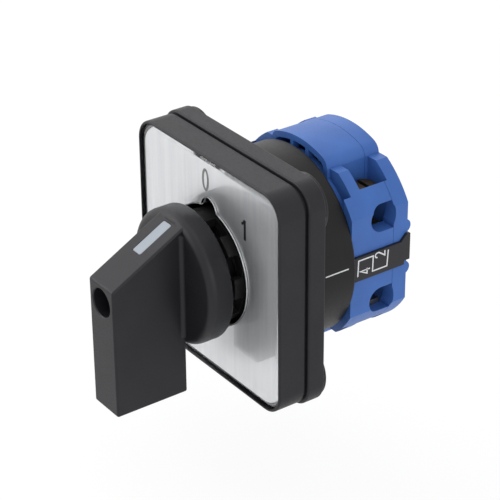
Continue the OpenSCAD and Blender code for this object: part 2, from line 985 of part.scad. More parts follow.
module plunger_upper() { side_z(1) plunger(); }
module plunger_lower() { side_z(-1) plunger(); }
module bridge_upper() { side_z(1) bridge(); }
module bridge_lower() { side_z(-1) bridge(); }
module moving_tips_upper() { side_z(1) moving_tips(); }
module moving_tips_lower() { side_z(-1) moving_tips(); }
module contact_spring_upper() { side_z(1) contact_spring(); }
module contact_spring_lower() { side_z(-1) contact_spring(); }

// A bent strip: a seat under the wire, a leg and an arm that carries the tip.
module fixed_contact() {
    y0 = terminal_y - contact_w / 2;
    y1 = terminal_y + contact_w / 2;
    inner_x = plunger_half + arm_set;
    leg_x = room_inner_x - leg_sink;
    color(brass)
        difference() {
            union() {
                bar(leg_x, pocket_x - seat_set, y0, y1, seat_z, seat_z + strip_t);
                bar(leg_x, leg_x + strip_t, y0, y1, seat_z, tip_level_z + strip_t);
                bar(inner_x, leg_x + strip_t, y0, y1, tip_level_z, tip_level_z + strip_t);
            }
            translate([terminal_x, terminal_y, seat_z - cut])
                cylinder(r = terminal_screw_r + tight_gap, h = strip_t + 2 * cut);
        }
}

module fixed_contact_1() { side_x(-1) side_z(1) fixed_contact(); }
module fixed_contact_2() { side_x(1) side_z(1) fixed_contact(); }
module fixed_contact_3() { side_x(-1) side_z(-1) fixed_contact(); }
module fixed_contact_4() { side_x(1) side_z(-1) fixed_contact(); }

module fixed_tips() {
    color(silver)
        four_ways()
            translate([tip_x, terminal_y, tip_level_z + strip_t])
                cylinder(r = tip_r, h = tip_h);
}

module terminal_clamps() {
    color(steel)
        four_ways()
            difference() {
                bar(terminal_x - clamp_half, terminal_x + clamp_half, terminal_y - clamp_half,
                    terminal_y + clamp_half - clamp_set, clamp_z, clamp_z + clamp_t);
                translate([terminal_x, terminal_y, clamp_z - cut])
                    cylinder(r = terminal_screw_r + screw_gap, h = clamp_t + 2 * cut);
            }
}

module terminal_screws() {
    head_z = clamp_z + clamp_t;
    color(steel)
        four_ways()
            translate([terminal_x, terminal_y, 0])
                difference() {
                    union() {
                        translate([0, 0, head_z])
                            cylinder(r = terminal_head_r, h = terminal_head_h);
                        translate([0, 0, terminal_end_z])
                            cylinder(r = terminal_screw_r, h = head_z - terminal_end_z + cut);
                    }
                    bar(-slot_w / 2, slot_w / 2, -far, far,
                        head_z + terminal_head_h - slot_depth, far);
                }
}

module tie_screws() {
    color(steel)
        for (s = [-1, 1])
            difference() {
                union() {
                    tube_y(tie_head_r, tie_seat, tie_seat + tie_head_h, s * tie_x);
                    tube_y(tie_r, tie_front, tie_seat + cut, s * tie_x);
                }
                bar(s * tie_x - far, s * tie_x + far, tie_seat + tie_head_h - slot_depth,
                    block_rear + cut, -slot_w / 2, slot_w / 2);
            }
}

module tie_nuts() {
    color(steel)
        for (s = [-1, 1])
            difference() {
                translate([s * tie_x, 0, 0])
                    along_y(base_front + nut_sink, base_front + nut_sink + nut_t)
                        circle(r = nut_flat / 2 / cos(30), $fn = 6);
                tube_y(tie_r + tight_gap, base_front - cut, base_front + nut_t + 2 * cut, s * tie_x);
            }
}

module marking_strip() {
    color(black)
        along_x(wing_x - strip_sink, wing_x + strip_proud) strip_outline(0, 0);
}

module marking_strip_right() { side_x(1) marking_strip(); }
module marking_strip_left() { side_x(-1) marking_strip(); }

knob();
pointer_insert();
knob_screw();
clear_cover();
label_plate();
bezel_frame();
base_plate();
collar_ring();
retaining_ring();
square_shaft();
detent_housing();
stop_disc();
stop_pins();
detent_wheel();
detent_slide_upper();
detent_slide_lower();
detent_spring_upper();
detent_spring_lower();
bearing_plate();
contact_shell_front();
contact_shell_rear();
switching_cam();
plunger_upper();
plunger_lower();
bridge_upper();
bridge_lower();
moving_tips_upper();
moving_tips_lower();
contact_spring_upper();
contact_spring_lower();
fixed_contact_1();
fixed_contact_2();
fixed_contact_3();
fixed_contact_4();
fixed_tips();
terminal_clamps();
terminal_screws();
tie_screws();
tie_nuts();
marking_strip_right();
marking_strip_left();
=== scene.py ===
"""Looks of a panel-mounted rotary cam switch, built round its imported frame.

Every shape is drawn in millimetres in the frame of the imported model: the origin lies on the
shaft's axis in the plane of the panel, +Y runs into the panel, +Z is up and +X is to the right
of someone who faces the knob. A piece is turned to metres when it is placed.
"""

from __future__ import annotations

import json
import logging
import math
from dataclasses import dataclass, field
from enum import Enum
from typing import Any, Callable, Sequence

import bmesh
import bpy
from mathutils import Matrix, Vector

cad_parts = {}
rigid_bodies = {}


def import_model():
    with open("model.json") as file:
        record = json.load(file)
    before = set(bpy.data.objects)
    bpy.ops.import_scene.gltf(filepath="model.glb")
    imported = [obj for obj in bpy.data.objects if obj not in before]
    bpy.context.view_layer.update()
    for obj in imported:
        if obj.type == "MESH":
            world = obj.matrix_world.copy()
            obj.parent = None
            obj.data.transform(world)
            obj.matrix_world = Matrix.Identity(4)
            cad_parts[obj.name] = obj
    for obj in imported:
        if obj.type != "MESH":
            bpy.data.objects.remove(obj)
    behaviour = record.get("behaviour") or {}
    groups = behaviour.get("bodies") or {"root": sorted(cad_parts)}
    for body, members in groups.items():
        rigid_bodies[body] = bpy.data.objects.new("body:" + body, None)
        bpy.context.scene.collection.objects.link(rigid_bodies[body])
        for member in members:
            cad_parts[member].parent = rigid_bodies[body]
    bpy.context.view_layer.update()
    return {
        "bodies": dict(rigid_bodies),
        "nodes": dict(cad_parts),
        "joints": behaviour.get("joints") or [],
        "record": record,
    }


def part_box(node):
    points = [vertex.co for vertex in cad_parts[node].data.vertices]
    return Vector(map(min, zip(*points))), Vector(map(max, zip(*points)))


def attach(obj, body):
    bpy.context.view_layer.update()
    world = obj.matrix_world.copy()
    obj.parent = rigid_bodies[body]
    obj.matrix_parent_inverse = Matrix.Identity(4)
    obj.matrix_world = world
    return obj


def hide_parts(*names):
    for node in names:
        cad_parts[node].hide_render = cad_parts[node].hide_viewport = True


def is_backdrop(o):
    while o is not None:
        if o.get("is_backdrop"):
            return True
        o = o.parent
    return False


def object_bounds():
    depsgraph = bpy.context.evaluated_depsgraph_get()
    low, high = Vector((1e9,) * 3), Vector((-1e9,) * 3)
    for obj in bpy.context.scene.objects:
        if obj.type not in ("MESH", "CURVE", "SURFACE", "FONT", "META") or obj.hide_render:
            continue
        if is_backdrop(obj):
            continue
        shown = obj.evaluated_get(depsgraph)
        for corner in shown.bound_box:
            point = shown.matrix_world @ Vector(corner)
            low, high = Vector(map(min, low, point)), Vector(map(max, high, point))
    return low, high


LOG = logging.getLogger("cam_switch")
MM = 0.001

# How far a tool runs past the face it cuts, or a joined solid into its neighbour.
PAST = 1.0
# Bore in which the shaft's hubs turn.
HUB_BORE = 5.26
# The two tie screws: their distance from the axis and the holes they pass through.
TIE_X = 13.8
TIE_HOLE = 1.65
# Marking strips: half their width, and how far the tab at the rear stands out of it.
STRIP_HALF = 2.65
STRIP_TAB = 1.4

# The useful range of a grain's value.
GRAIN_LOW = 0.3
GRAIN_HIGH = 0.7

Outline = list[tuple[float, float]]
Piece = bpy.types.Object


class Axis(Enum):
    """Directions along which an outline is pushed out."""

    X = "x"
    Y = "y"
    Z = "z"

    def point(self, u: float, v: float, w: float) -> tuple[float, float, float]:
        """Returns the place of outline point (u, v) at height w along the axis."""
        places = {Axis.X: (w, u, v), Axis.Y: (u, w, v), Axis.Z: (u, v, w)}
        return places[self]


class Cut(Enum):
    """Ways to combine two solids."""

    AWAY = "DIFFERENCE"
    WITH = "UNION"
    COMMON = "INTERSECT"


class Body(Enum):
    """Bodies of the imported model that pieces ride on."""

    SWITCH = "switch_body"
    ROTOR = "rotor"


# ---------------------------------------------------------------- shapes


@dataclass(frozen=True)
class Extent:
    """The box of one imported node, in millimetres."""

    lo: Vector
    hi: Vector

    @staticmethod
    def of(node: str) -> "Extent":
        """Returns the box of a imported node."""
        lo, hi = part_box(node)
        return Extent(lo / MM, hi / MM)


def circle(radius: float, sides: int = 96, u: float = 0.0, v: float = 0.0) -> Outline:
    """Draws a circle.

    Args:
        radius: Its radius.
        sides: How many points it has.
        u: First coordinate of its centre.
        v: Second coordinate of its centre.

    Returns:
        The points, in order.
    """
    angles = [i * (2 * math.pi / sides) for i in range(sides)]
    return [(u + radius * math.cos(a), v + radius * math.sin(a)) for a in angles]


def arc(u: float, v: float, radius: float, start: float, end: float, steps: int) -> Outline:
    """Draws an arc.

    Args:
        u: First coordinate of its centre.
        v: Second coordinate of its centre.
        radius: Its radius.
        start: Angle of its first point, in degrees from the first direction.
        end: Angle of its last point.
        steps: How many pieces it is cut in.

    Returns:
        The points, in order.
    """
    angles = [math.radians(start + (end - start) * i / steps) for i in range(steps + 1)]
    return [(u + radius * math.cos(a), v + radius * math.sin(a)) for a in angles]


def rounded_box(half_u: float, half_v: float, radius: float, steps: int = 8) -> Outline:
    """Draws a rectangle with round corners about the axis.

    Args:
        half_u: Half of its first side.
        half_v: Half of its second side.
        radius: Radius of the corners.
        steps: How many pieces each corner is cut in.

    Returns:
        The points, in order.
    """
    radius = max(radius, 0.01)
    points: Outline = []
    for su, sv, start in ((1, 1, 0), (-1, 1, 90), (-1, -1, 180), (1, -1, 270)):
        u, v = su * (half_u - radius), sv * (half_v - radius)
        points += arc(u, v, radius, start, start + 90, steps)
    return points


def build(name: str, points: Sequence[Sequence[float]], faces: Sequence[Sequence[int]]) -> Piece:
    """Makes a closed mesh with its faces turned outwards.

    Args:
        name: Name of the piece.
        points: Its corners, in millimetres.
        faces: Corner numbers of each face.

    Returns:
        The new object.
    """
    mesh = bpy.data.meshes.new(name)
    mesh.from_pydata([tuple(p) for p in points], [], [tuple(f) for f in faces])
    work = bmesh.new()
    work.from_mesh(mesh)
    bmesh.ops.remove_doubles(work, verts=work.verts, dist=1e-5)
    bmesh.ops.recalc_face_normals(work, faces=work.faces)
    work.to_mesh(mesh)
    work.free()
    piece = bpy.data.objects.new(name, mesh)
    bpy.context.scene.collection.objects.link(piece)
    return piece


def loft(name: str, rings: Sequence[Sequence[Sequence[float]]]) -> Piece:
    """Joins rings of equally many points into a closed solid with flat ends.

    Args:
        name: Name of the piece.
        rings: The rings of points, in millimetres, from one end to the other.

    Returns:
        The new object.
    """
    count = len(rings[0])
    points = [p for ring in rings for p in ring]
    faces: list[list[int]] = [list(range(count - 1, -1, -1))]
    for i in range(len(rings) - 1):
        a, b = i * count, (i + 1) * count
        faces += [[a + k, a + (k + 1) % count, b + (k + 1) % count, b + k] for k in range(count)]
    faces.append([(len(rings) - 1) * count + k for k in range(count)])
    return build(name, points, faces)


def prism(name: str, outline: Outline, lo: float, hi: float, axis: Axis = Axis.Y) -> Piece:
    """Pushes an outline out between two heights along an axis."""
    return loft(name, [[axis.point(u, v, w) for u, v in outline] for w in (lo, hi)])


def rounded(
    name: str,
    outline: Callable[[float], Outline],
    lo: float,
    hi: float,
    round_lo: float = 0.0,
    round_hi: float = 0.0,
    axis: Axis = Axis.Y,
    steps: int = 5,
) -> Piece:
    """Pushes an outline out and rounds the edges of its two ends.

    Args:
        name: Name of the piece.
        outline: Gives the outline moved in by a distance.
        lo: Height of the first end.
        hi: Height of the second end.
        round_lo: Radius of the edge at the first end.
        round_hi: Radius of the edge at the second end.
        axis: Direction of the push.
        steps: How many pieces a rounded edge is cut in.

    Returns:
        The new object.
    """
    levels: list[tuple[float, float]] = []
    for end, radius, sign in ((lo, round_lo, 1), (hi, round_hi, -1)):
        if radius <= 0:
            row = [(end, 0.0)]
        else:
            angles = [math.pi / 2 * i / steps for i in range(steps + 1)]
            bends = [(1 - math.cos(a), 1 - math.sin(a)) for a in angles]
            row = [(end + sign * radius * rise, radius * inset) for rise, inset in bends]
        levels += row if sign > 0 else row[::-1]
    return loft(name, [[axis.point(u, v, w) for u, v in outline(inset)] for w, inset in levels])


def drum(
    name: str,
    radius: float,
    lo: float,
    hi: float,
    round_lo: float = 0.0,
    round_hi: float = 0.0,
    axis: Axis = Axis.Y,
    centre: tuple[float, float] = (0.0, 0.0),
    sides: int = 96,
) -> Piece:
    """Makes a round bar or disc, with rounded edges where a radius is given.

    Args:
        name: Name of the piece.
        radius: Its radius.
        lo: Height of the first end.
        hi: Height of the second end.
        round_lo: Radius of the edge at the first end.
        round_hi: Radius of the edge at the second end.
        axis: Direction of its own axis.
        centre: The other two coordinates of that axis.
        sides: How many sides it is drawn with.

    Returns:
        The new object.
    """

    def outline(inset: float) -> Outline:
        """Returns the circle moved in by a distance."""
        return circle(radius - inset, sides, *centre)

    return rounded(name, outline, lo, hi, round_lo, round_hi, axis)


def slab(
    name: str,
    half: float,
    corner: float,
    lo: float,
    hi: float,
    round_lo: float = 0.0,
    round_hi: float = 0.0,
) -> Piece:
    """Makes a square plate with round corners across the shaft's axis.

    Args:
        name: Name of the piece.
        half: Half of its side.
        corner: Radius of its corners.
        lo: Height of the first end.
        hi: Height of the second end.
        round_lo: Radius of the edge at the first end.
        round_hi: Radius of the edge at the second end.

    Returns:
        The new object.
    """

    def outline(inset: float) -> Outline:
        """Returns the square moved in by a distance."""
        return rounded_box(half - inset, half - inset, corner - inset, 12)

    return rounded(name, outline, lo, hi, round_lo, round_hi)


def brick(name: str, lo: Sequence[float], hi: Sequence[float]) -> Piece:
    """Makes a plain block between two corners, to be carved or softened."""
    outline = [(lo[0], lo[1]), (hi[0], lo[1]), (hi[0], hi[1]), (lo[0], hi[1])]
    return prism(name, outline, lo[2], hi[2], Axis.Z)


def bake(piece: Piece) -> Piece:
    """Turns the piece's modifiers into its mesh.

    Args:
        piece: The piece, with its modifiers.

    Returns:
        The piece.
    """
    graph = bpy.context.evaluated_depsgraph_get()
    mesh = bpy.data.meshes.new_from_object(piece.evaluated_get(graph))
    old = piece.data
    piece.modifiers.clear()
    piece.data = mesh
    bpy.data.meshes.remove(old)
    return piece


def carve(piece: Piece, tools: Sequence[Piece], how: Cut = Cut.AWAY) -> Piece:
    """Combines a piece with other solids, which are used up.

    Args:
        piece: The solid that stays.
        tools: The solids to cut away, add or keep in common.
        how: Which of the three it is.

    Returns:
        The piece.
    """
    for tool in tools:
        step = piece.modifiers.new("carve", "BOOLEAN")
        step.solver = "MANIFOLD"
        step.operation = how.value
        step.object = tool
        bake(piece)
        bpy.data.objects.remove(tool)
    return piece


def soften(piece: Piece, width: float, segments: int = 3, angle: float = 35.0) -> Piece:
    """Rounds every edge that is sharper than an angle in degrees.

    Args:
        piece: The solid.
        width: Width of the rounding.
        segments: How many pieces it is cut in.
        angle: The least angle, in degrees.

    Returns:
        The piece.
    """
    step = piece.modifiers.new("soften", "BEVEL")
    step.width = width
    step.segments = segments
    step.limit_method = "ANGLE"
    step.angle_limit = math.radians(angle)
    step.use_clamp_overlap = True
    step.miter_outer = "MITER_ARC"
    return bake(piece)


def moved(piece: Piece, matrix: Matrix) -> Piece:
    """Moves the piece's mesh by a matrix, in millimetres, and keeps its faces outwards.

    Args:
        piece: The piece.
        matrix: The move, which may be a mirror.

    Returns:
        The piece.
    """
    piece.data.transform(matrix)
    if matrix.determinant() < 0:
        piece.data.flip_normals()
    return piece


def twin(piece: Piece, x: int = 1, z: int = 1) -> Piece:
    """Copies a piece, mirrored across the axis where x or z is -1.

    Args:
        piece: The piece.
        x: -1 for a copy on the left.
        z: -1 for a copy below.

    Returns:
        The copy.
    """
    copy = piece.copy()
    copy.data = piece.data.copy()
    bpy.context.scene.collection.objects.link(copy)
    return moved(copy, Matrix.Diagonal((x, 1, z, 1)))


def merged(name: str, pieces: Sequence[Piece]) -> Piece:
    """Puts separate solids into one object.

    Args:
        name: Name of the object.
        pieces: The solids, which are used up.

    Returns:
        The new object.
    """
    work = bmesh.new()
    for piece in pieces:
        work.from_mesh(piece.data)
        bpy.data.objects.remove(piece)
    mesh = bpy.data.meshes.new(name)
    work.to_mesh(mesh)
    work.free()
    whole = bpy.data.objects.new(name, mesh)
    bpy.context.scene.collection.objects.link(whole)
    return whole


def above_and_below(piece: Piece) -> list[Piece]:
    """Returns a piece with its copy below the axis."""
    return [piece, twin(piece, 1, -1)]


def left_and_right(piece: Piece) -> list[Piece]:
    """Returns a piece with its copy on the left."""
    return [piece, twin(piece, -1, 1)]


def all_four(piece: Piece) -> list[Piece]:
    """Returns a piece with its copies at the other three terminals."""
    return left_and_right(piece) + [twin(piece, x, -1) for x in (1, -1)]


def four_ways(name: str, piece: Piece) -> Piece:
    """Puts a piece at all four terminals: it is drawn at the upper right one."""
    return merged(name, all_four(piece))


def stroke(points: Outline, width: float) -> Outline:
    """Draws a line of a given width as an outline with mitred corners.

    Args:
        points: The corners of the line's middle.
        width: How wide the line is.

    Returns:
        The outline, up one side and down the other.
    """
    left: Outline = []
    right: Outline = []
    for i, point in enumerate(points):
        here = Vector(point)
        before = (here - Vector(points[i - 1])).normalized() if i else None
        after = (Vector(points[i + 1]) - here).normalized() if i < len(points) - 1 else None
        first, second = before or after, after or before
        along = (first + second).normalized()
        side = Vector((-along.y, along.x))
        reach = width / 2 / max(0.35, along.dot(first))
        left.append(tuple(here + side * reach))
        right.append(tuple(here - side * reach))
    return left + right[::-1]


# ---------------------------------------------------------------- finishes


def linear(hex_colour: str) -> tuple[float, float, float, float]:
    """Turns an sRGB hex colour into the linear values that nodes take.

    Args:
        hex_colour: A hash and six hex digits.

    Returns:
        Red, green, blue and an alpha of 1.
    """
    values = [int(hex_colour[i : i + 2], 16) / 255 for i in (1, 3, 5)]
    curve = [v / 12.92 if v <= 0.04045 else ((v + 0.055) / 1.055) ** 2.4 for v in values]
    return (curve[0], curve[1], curve[2], 1.0)


def add_node(
    tree: bpy.types.NodeTree,
    kind: str,
    settings: dict[str, Any] | None = None,
    inputs: dict[str | int, Any] | None = None,
) -> bpy.types.Node:
    """Adds one node to a tree.

    Args:
        tree: The tree it goes in.
        kind: Blender's name of the node's kind.
        settings: Values of its properties.
        inputs: Values of its sockets, or sockets of other nodes to link to them.

    Returns:
        The node.
    """
    node = tree.nodes.new(kind)
    for key, value in (settings or {}).items():
        setattr(node, key, value)
    for key, value in (inputs or {}).items():
        if isinstance(value, bpy.types.NodeSocket):
            tree.links.new(value, node.inputs[key])
        else:
            node.inputs[key].default_value = value
    return node


def new_material(name: str) -> tuple[bpy.types.Material, bpy.types.NodeTree, bpy.types.Node]:
    """Makes a material and returns it with its tree and its Principled shader.

    Args:
        name: Name of the material.

    Returns:
        The material, its tree and its shader.
    """
    material = bpy.data.materials.new(name)
    material.use_nodes = True
    tree = material.node_tree
    return material, tree, tree.nodes["Principled BSDF"]


def surface_grain(
    tree: bpy.types.NodeTree, size_mm: Sequence[float], detail: float = 2.0
) -> bpy.types.NodeSocket:
    """Lays a grain over a surface, with cells of a real size.

    Args:
        tree: The material's tree.
        size_mm: Size of a cell along X, Y and Z.
        detail: How much finer grain is laid over it.

    Returns:
        The grain's value, about 0.3 to 0.7.
    """
    place = add_node(tree, "ShaderNodeTexCoord").outputs["Object"]
    scale = tuple(1 / (s * MM) for s in size_mm)
    cells = add_node(tree, "ShaderNodeMapping", {}, {"Vector": place, "Scale": scale})
    values = {"Vector": cells.outputs["Vector"], "Scale": 1.0, "Detail": detail}
    return add_node(tree, "ShaderNodeTexNoise", {}, values).outputs["Fac"]


def vary_surface(
    tree: bpy.types.NodeTree,
    shader: bpy.types.Node,
    tone: bpy.types.NodeSocket,
    colours: tuple[str, str],
    polish: bpy.types.NodeSocket,
    roughness: tuple[float, float],
) -> None:
    """Lets one grain vary a shader's colour and one its roughness.

    Args:
        tree: The material's tree.
        shader: Its shader.
        tone: The grain that the colour follows.
        colours: The hex colours at its low and its high end.
        polish: The grain that the roughness follows.
        roughness: The roughness at its low and its high end.
    """
    span = {"From Min": GRAIN_LOW, "From Max": GRAIN_HIGH}
    share = add_node(tree, "ShaderNodeMapRange", {}, {"Value": tone, **span})
    ends = {0: share.outputs["Result"], 6: linear(colours[0]), 7: linear(colours[1])}
    colour = add_node(tree, "ShaderNodeMix", {"data_type": "RGBA"}, ends)
    limits = {"Value": polish, **span, "To Min": roughness[0], "To Max": roughness[1]}
    rough = add_node(tree, "ShaderNodeMapRange", {}, limits)
    tree.links.new(colour.outputs[2], shader.inputs["Base Color"])
    tree.links.new(rough.outputs["Result"], shader.inputs["Roughness"])


@dataclass(frozen=True)
class MouldedPlastic:
    """Injection-moulded plastic with the fine grain of a spark-eroded mould."""

    name: str
    colour: str
    shade: str
    roughness: float
    grain_mm: float = 0.35
    grain_depth_mm: float = 0.012
    drift_mm: float = 7.0
    gloss: float = 0.3
    spread: float = 0.05

    def material(self) -> bpy.types.Material:
        """Builds the material.

        Returns:
            A shader whose grain breaks up its highlights and whose colour drifts a little.
        """
        material, tree, shader = new_material(self.name)
        shader.inputs["Specular IOR Level"].default_value = self.gloss
        drift = surface_grain(tree, (self.drift_mm,) * 3, 3.0)
        grain = surface_grain(tree, (self.grain_mm,) * 3)
        rough = (self.roughness - self.spread, self.roughness + self.spread)
        vary_surface(tree, shader, drift, (self.shade, self.colour), grain, rough)
        relief = {"Strength": 0.5, "Distance": self.grain_depth_mm * MM, "Height": grain}
        bump = add_node(tree, "ShaderNodeBump", {}, relief)
        tree.links.new(bump.outputs["Normal"], shader.inputs["Normal"])
        return material


@dataclass(frozen=True)
class DrawnMetal:
    """Metal with faint lines from drawing, rolling or brushing along one direction."""

    name: str
    colour: str
    shade: str
    roughness: float
    line_mm: tuple[float, float, float]
    band_mm: tuple[float, float, float]
    depth_mm: float = 0.004
    spread: float = 0.08
    metal: float = 1.0
    across: float = 0.0

    def material(self) -> bpy.types.Material:
        """Builds the material.

        Returns:
            A metal whose fine lines smear its reflections across them, with broader bands of tone.
        """
        material, tree, shader = new_material(self.name)
        shader.inputs["Metallic"].default_value = self.metal
        shader.inputs["Anisotropic"].default_value = self.across
        lines = surface_grain(tree, self.line_mm, 3.0)
        bands = surface_grain(tree, self.band_mm)
        half = add_node(tree, "ShaderNodeMath", {"operation": "MULTIPLY"}, {0: bands, 1: 0.5})
        parts = {0: lines, 1: 0.5, 2: half.outputs[0]}
        mixed = add_node(tree, "ShaderNodeMath", {"operation": "MULTIPLY_ADD"}, parts)
        tone = mixed.outputs[0]
        rough = (self.roughness + self.spread, self.roughness - self.spread)
        vary_surface(tree, shader, tone, (self.shade, self.colour), tone, rough)
        relief = {"Strength": 0.6, "Distance": self.depth_mm * MM, "Height": lines}
        bump = add_node(tree, "ShaderNodeBump", {}, relief)
        tree.links.new(bump.outputs["Normal"], shader.inputs["Normal"])
        return material


@dataclass(frozen=True)
class ClearAcrylic:
    """Clear moulded acrylic, polished, so it shows mostly at its cut edges."""

    name: str
    tint: str
    ior: float = 1.49
    polish: float = 0.01
    haze: float = 0.05

    def material(self) -> bpy.types.Material:
        """Builds the material.

        Returns:
            A clear shader with a trace of handling haze in its gloss.
        """
        material, tree, shader = new_material(self.name)
        shader.inputs["Base Color"].default_value = linear(self.tint)
        shader.inputs["Transmission Weight"].default_value = 1.0
        shader.inputs["IOR"].default_value = self.ior
        smears = surface_grain(tree, (9.0, 9.0, 14.0), 3.0)
        limits = {"Value": smears, "From Min": GRAIN_LOW, "From Max": GRAIN_HIGH}
        limits.update({"To Min": self.polish, "To Max": self.haze})
        rough = add_node(tree, "ShaderNodeMapRange", {}, limits)
        tree.links.new(rough.outputs["Result"], shader.inputs["Roughness"])
        return material


@dataclass(frozen=True)
class PrintedInk:
    """Pad-printed ink: flat, thin and slightly uneven in cover."""

    name: str
    colour: str
    shade: str
    roughness: tuple[float, float] = (0.45, 0.6)
    speck_mm: float = 0.5

    def material(self) -> bpy.types.Material:
        """Builds the material.

        Returns:
            A dull shader whose tone varies like a thin printed film.
        """
        material, tree, shader = new_material(self.name)
        cover = surface_grain(tree, (self.speck_mm,) * 3)
        vary_surface(tree, shader, cover, (self.shade, self.colour), cover, self.roughness)
        return material


class Finishes:
    """The materials of the switch, each built once."""

    def __init__(self) -> None:
        """Lists the finishes, from what each piece is really made of."""
        fine = (0.2, 0.2, 0.2)
        along = (1.2, 0.2, 0.2)
        made: list[Any] = [
            # Glass-filled nylon, moulded: near black, a soft sheen on its round edges.
            MouldedPlastic("nylon_moulded_black_knob", "#1b1b1f", "#16161a", 0.45),
            # PBT, moulded: charcoal black, satin, a little duller than the knob.
            MouldedPlastic("pbt_moulded_charcoal_plate", "#1c1c21", "#17171b", 0.48),
            # Phenolic or PBT can: black with a dull, fine grain.
            MouldedPlastic("pbt_moulded_black_housing", "#171718", "#121213", 0.46, gloss=0.24),
            # Polyamide, moulded in blue: even colour, satin, slightly waxy.
            MouldedPlastic("polyamide_moulded_blue", "#3d67ae", "#385fa3", 0.46),
            # Acetal, moulded in its natural white: smooth and waxy.
            MouldedPlastic("acetal_moulded_natural", "#e4e3dc", "#d8d7d0", 0.35),
            # ABS, moulded pale grey-blue: the pointer bar, smooth.
            MouldedPlastic("abs_moulded_pale_grey", "#99a1aa", "#9199a2", 0.35),
            # Polycarbonate strip, extruded black: smoother than the mouldings.
            MouldedPlastic("polycarbonate_extruded_black", "#26262a", "#202024", 0.4),
            # Aluminium sheet, brushed up and down: lines a tenth of a millimetre wide.
            DrawnMetal(
                "aluminium_sheet_brushed",
                "#fdfdfd",
                "#ebecee",
                0.4,
                line_mm=(0.14, 1.0, 22.0),
                band_mm=(1.1, 1.0, 30.0),
                depth_mm=0.0035,
                spread=0.04,
                metal=0.8,
                across=0.6,
            ),
            # Steel, zinc plated: grey with a dull, faintly warm bloom.
            DrawnMetal("steel_zinc_plated", "#a9a6a0", "#85827c", 0.38, fine, (1.5,) * 3),
            # Steel, yellow chromated: dull brass-brown, as on terminal screws, and darkened
            # further as painted shade for the shadow the screws sit in inside their pockets.
            DrawnMetal("steel_yellow_chromated_painted_shade", "#6b5b42", "#453b2b", 0.45, fine, (0.9,) * 3),
            # Spring wire, drawn: darker grey lines along the wire.
            DrawnMetal("steel_wire_drawn", "#8e9094", "#6d6f73", 0.32, fine, (1.0,) * 3),
            # Brass strip, stamped: yellow, rolled lines along its length.
            DrawnMetal("brass_strip_stamped", "#c09a52", "#a17f42", 0.34, along, (3.0,) * 3),
            # Copper strip, stamped: reddish, lightly tarnished.
            DrawnMetal("copper_strip_stamped", "#b87a58", "#935a3d", 0.36, along, (3.0,) * 3),
            # Silver alloy, riveted contact tips: pale and finely matt.
            DrawnMetal("silver_alloy_riveted", "#d4d4d2", "#b9b9b6", 0.3, fine, (0.8,) * 3),
            # Acrylic, moulded clear and polished.
            ClearAcrylic("acrylic_moulded_clear", "#fbfcfd"),
            # The clear cover's bevelled edges, given an opaque pale grey as a painted highlight,
            # so they show as pale lines.
            MouldedPlastic("acrylic_edge_painted_highlight", "#e2e4e6", "#d2d4d7", 0.5),
            # Dark grey screen print on the label.
            PrintedInk("ink_printed_dark", "#151617", "#1d1e20"),
            # Black screen print on the label.
            PrintedInk("ink_printed_black", "#0c0c0d", "#121213"),
            # White pad print on the black strips.
            PrintedInk("ink_printed_white", "#d9dadb", "#c6c8ca"),
        ]
        self._made: dict[str, bpy.types.Material] = {f.name: f.material() for f in made}

    def __getitem__(self, name: str) -> bpy.types.Material:
        """Returns a finish by its name."""
        return self._made[name]


# ---------------------------------------------------------------- sub-assemblies


@dataclass
class SubAssembly:
    """Pieces of the switch that are made and dressed together."""

    finishes: Finishes

    def place(
        self,
        piece: Piece,
        finish: str,
        slot: str,
        nodes: Sequence[str] = (),
        body: Body = Body.SWITCH,
    ) -> Piece:
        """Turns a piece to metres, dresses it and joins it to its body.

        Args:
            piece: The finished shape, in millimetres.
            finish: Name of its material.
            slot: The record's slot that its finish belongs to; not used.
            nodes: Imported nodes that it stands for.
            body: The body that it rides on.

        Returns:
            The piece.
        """
        piece.data.transform(Matrix.Scale(MM, 4))
        piece.data.materials.clear()
        piece.data.materials.append(self.finishes[finish])
        piece.data.polygons.foreach_set("use_smooth", [True] * len(piece.data.polygons))
        piece.data.set_sharp_from_angle(angle=math.radians(40))
        normals = piece.modifiers.new("normals", "WEIGHTED_NORMAL")
        normals.keep_sharp = True
        normals.weight = 80
        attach(piece, body.value)
        if nodes:
            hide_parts(*nodes)
        LOG.info("%s: %d faces", piece.name, len(piece.data.polygons))
        return piece


@dataclass
class SlottedScrew:
    """A screw with a slotted cheese head, drawn along +Z with its seat at the origin."""

    head_radius: float
    head_height: float
    shank_radius: float
    shank_length: float
    slot_width: float = 0.8
    slot_depth: float = 0.9
    edge: float = 0.25
    pitch: float = 0.5
    thread_depth: float = 0.12

    def build(self, name: str) -> Piece:
        """Makes the screw with rounded head, slot and a short run of thread.

        Args:
            name: Name of the piece.

        Returns:
            The screw.
        """
        head = drum(name, self.head_radius, 0, self.head_height, 0.1, self.edge, Axis.Z, sides=64)
        reach = self.head_radius + PAST
        slot = brick(
            "slot",
            (-reach, -self.slot_width / 2, self.head_height - self.slot_depth),
            (reach, self.slot_width / 2, self.head_height + PAST),
        )
        carve(head, [slot])
        soften(head, 0.06, 2)
        rings = []
        turns = int(self.shank_length / self.pitch * 2)
        for i in range(turns + 1):
            level = -self.shank_length * i / turns
            radius = self.shank_radius - (self.thread_depth if i % 2 else 0.0)
            rings.append([(x, y, level) for x, y in circle(radius, 32)])
        thread = loft("thread", rings[::-1])
        moved(thread, Matrix.Translation((0, 0, 0.05)))
        return carve(head, [thread], Cut.WITH)


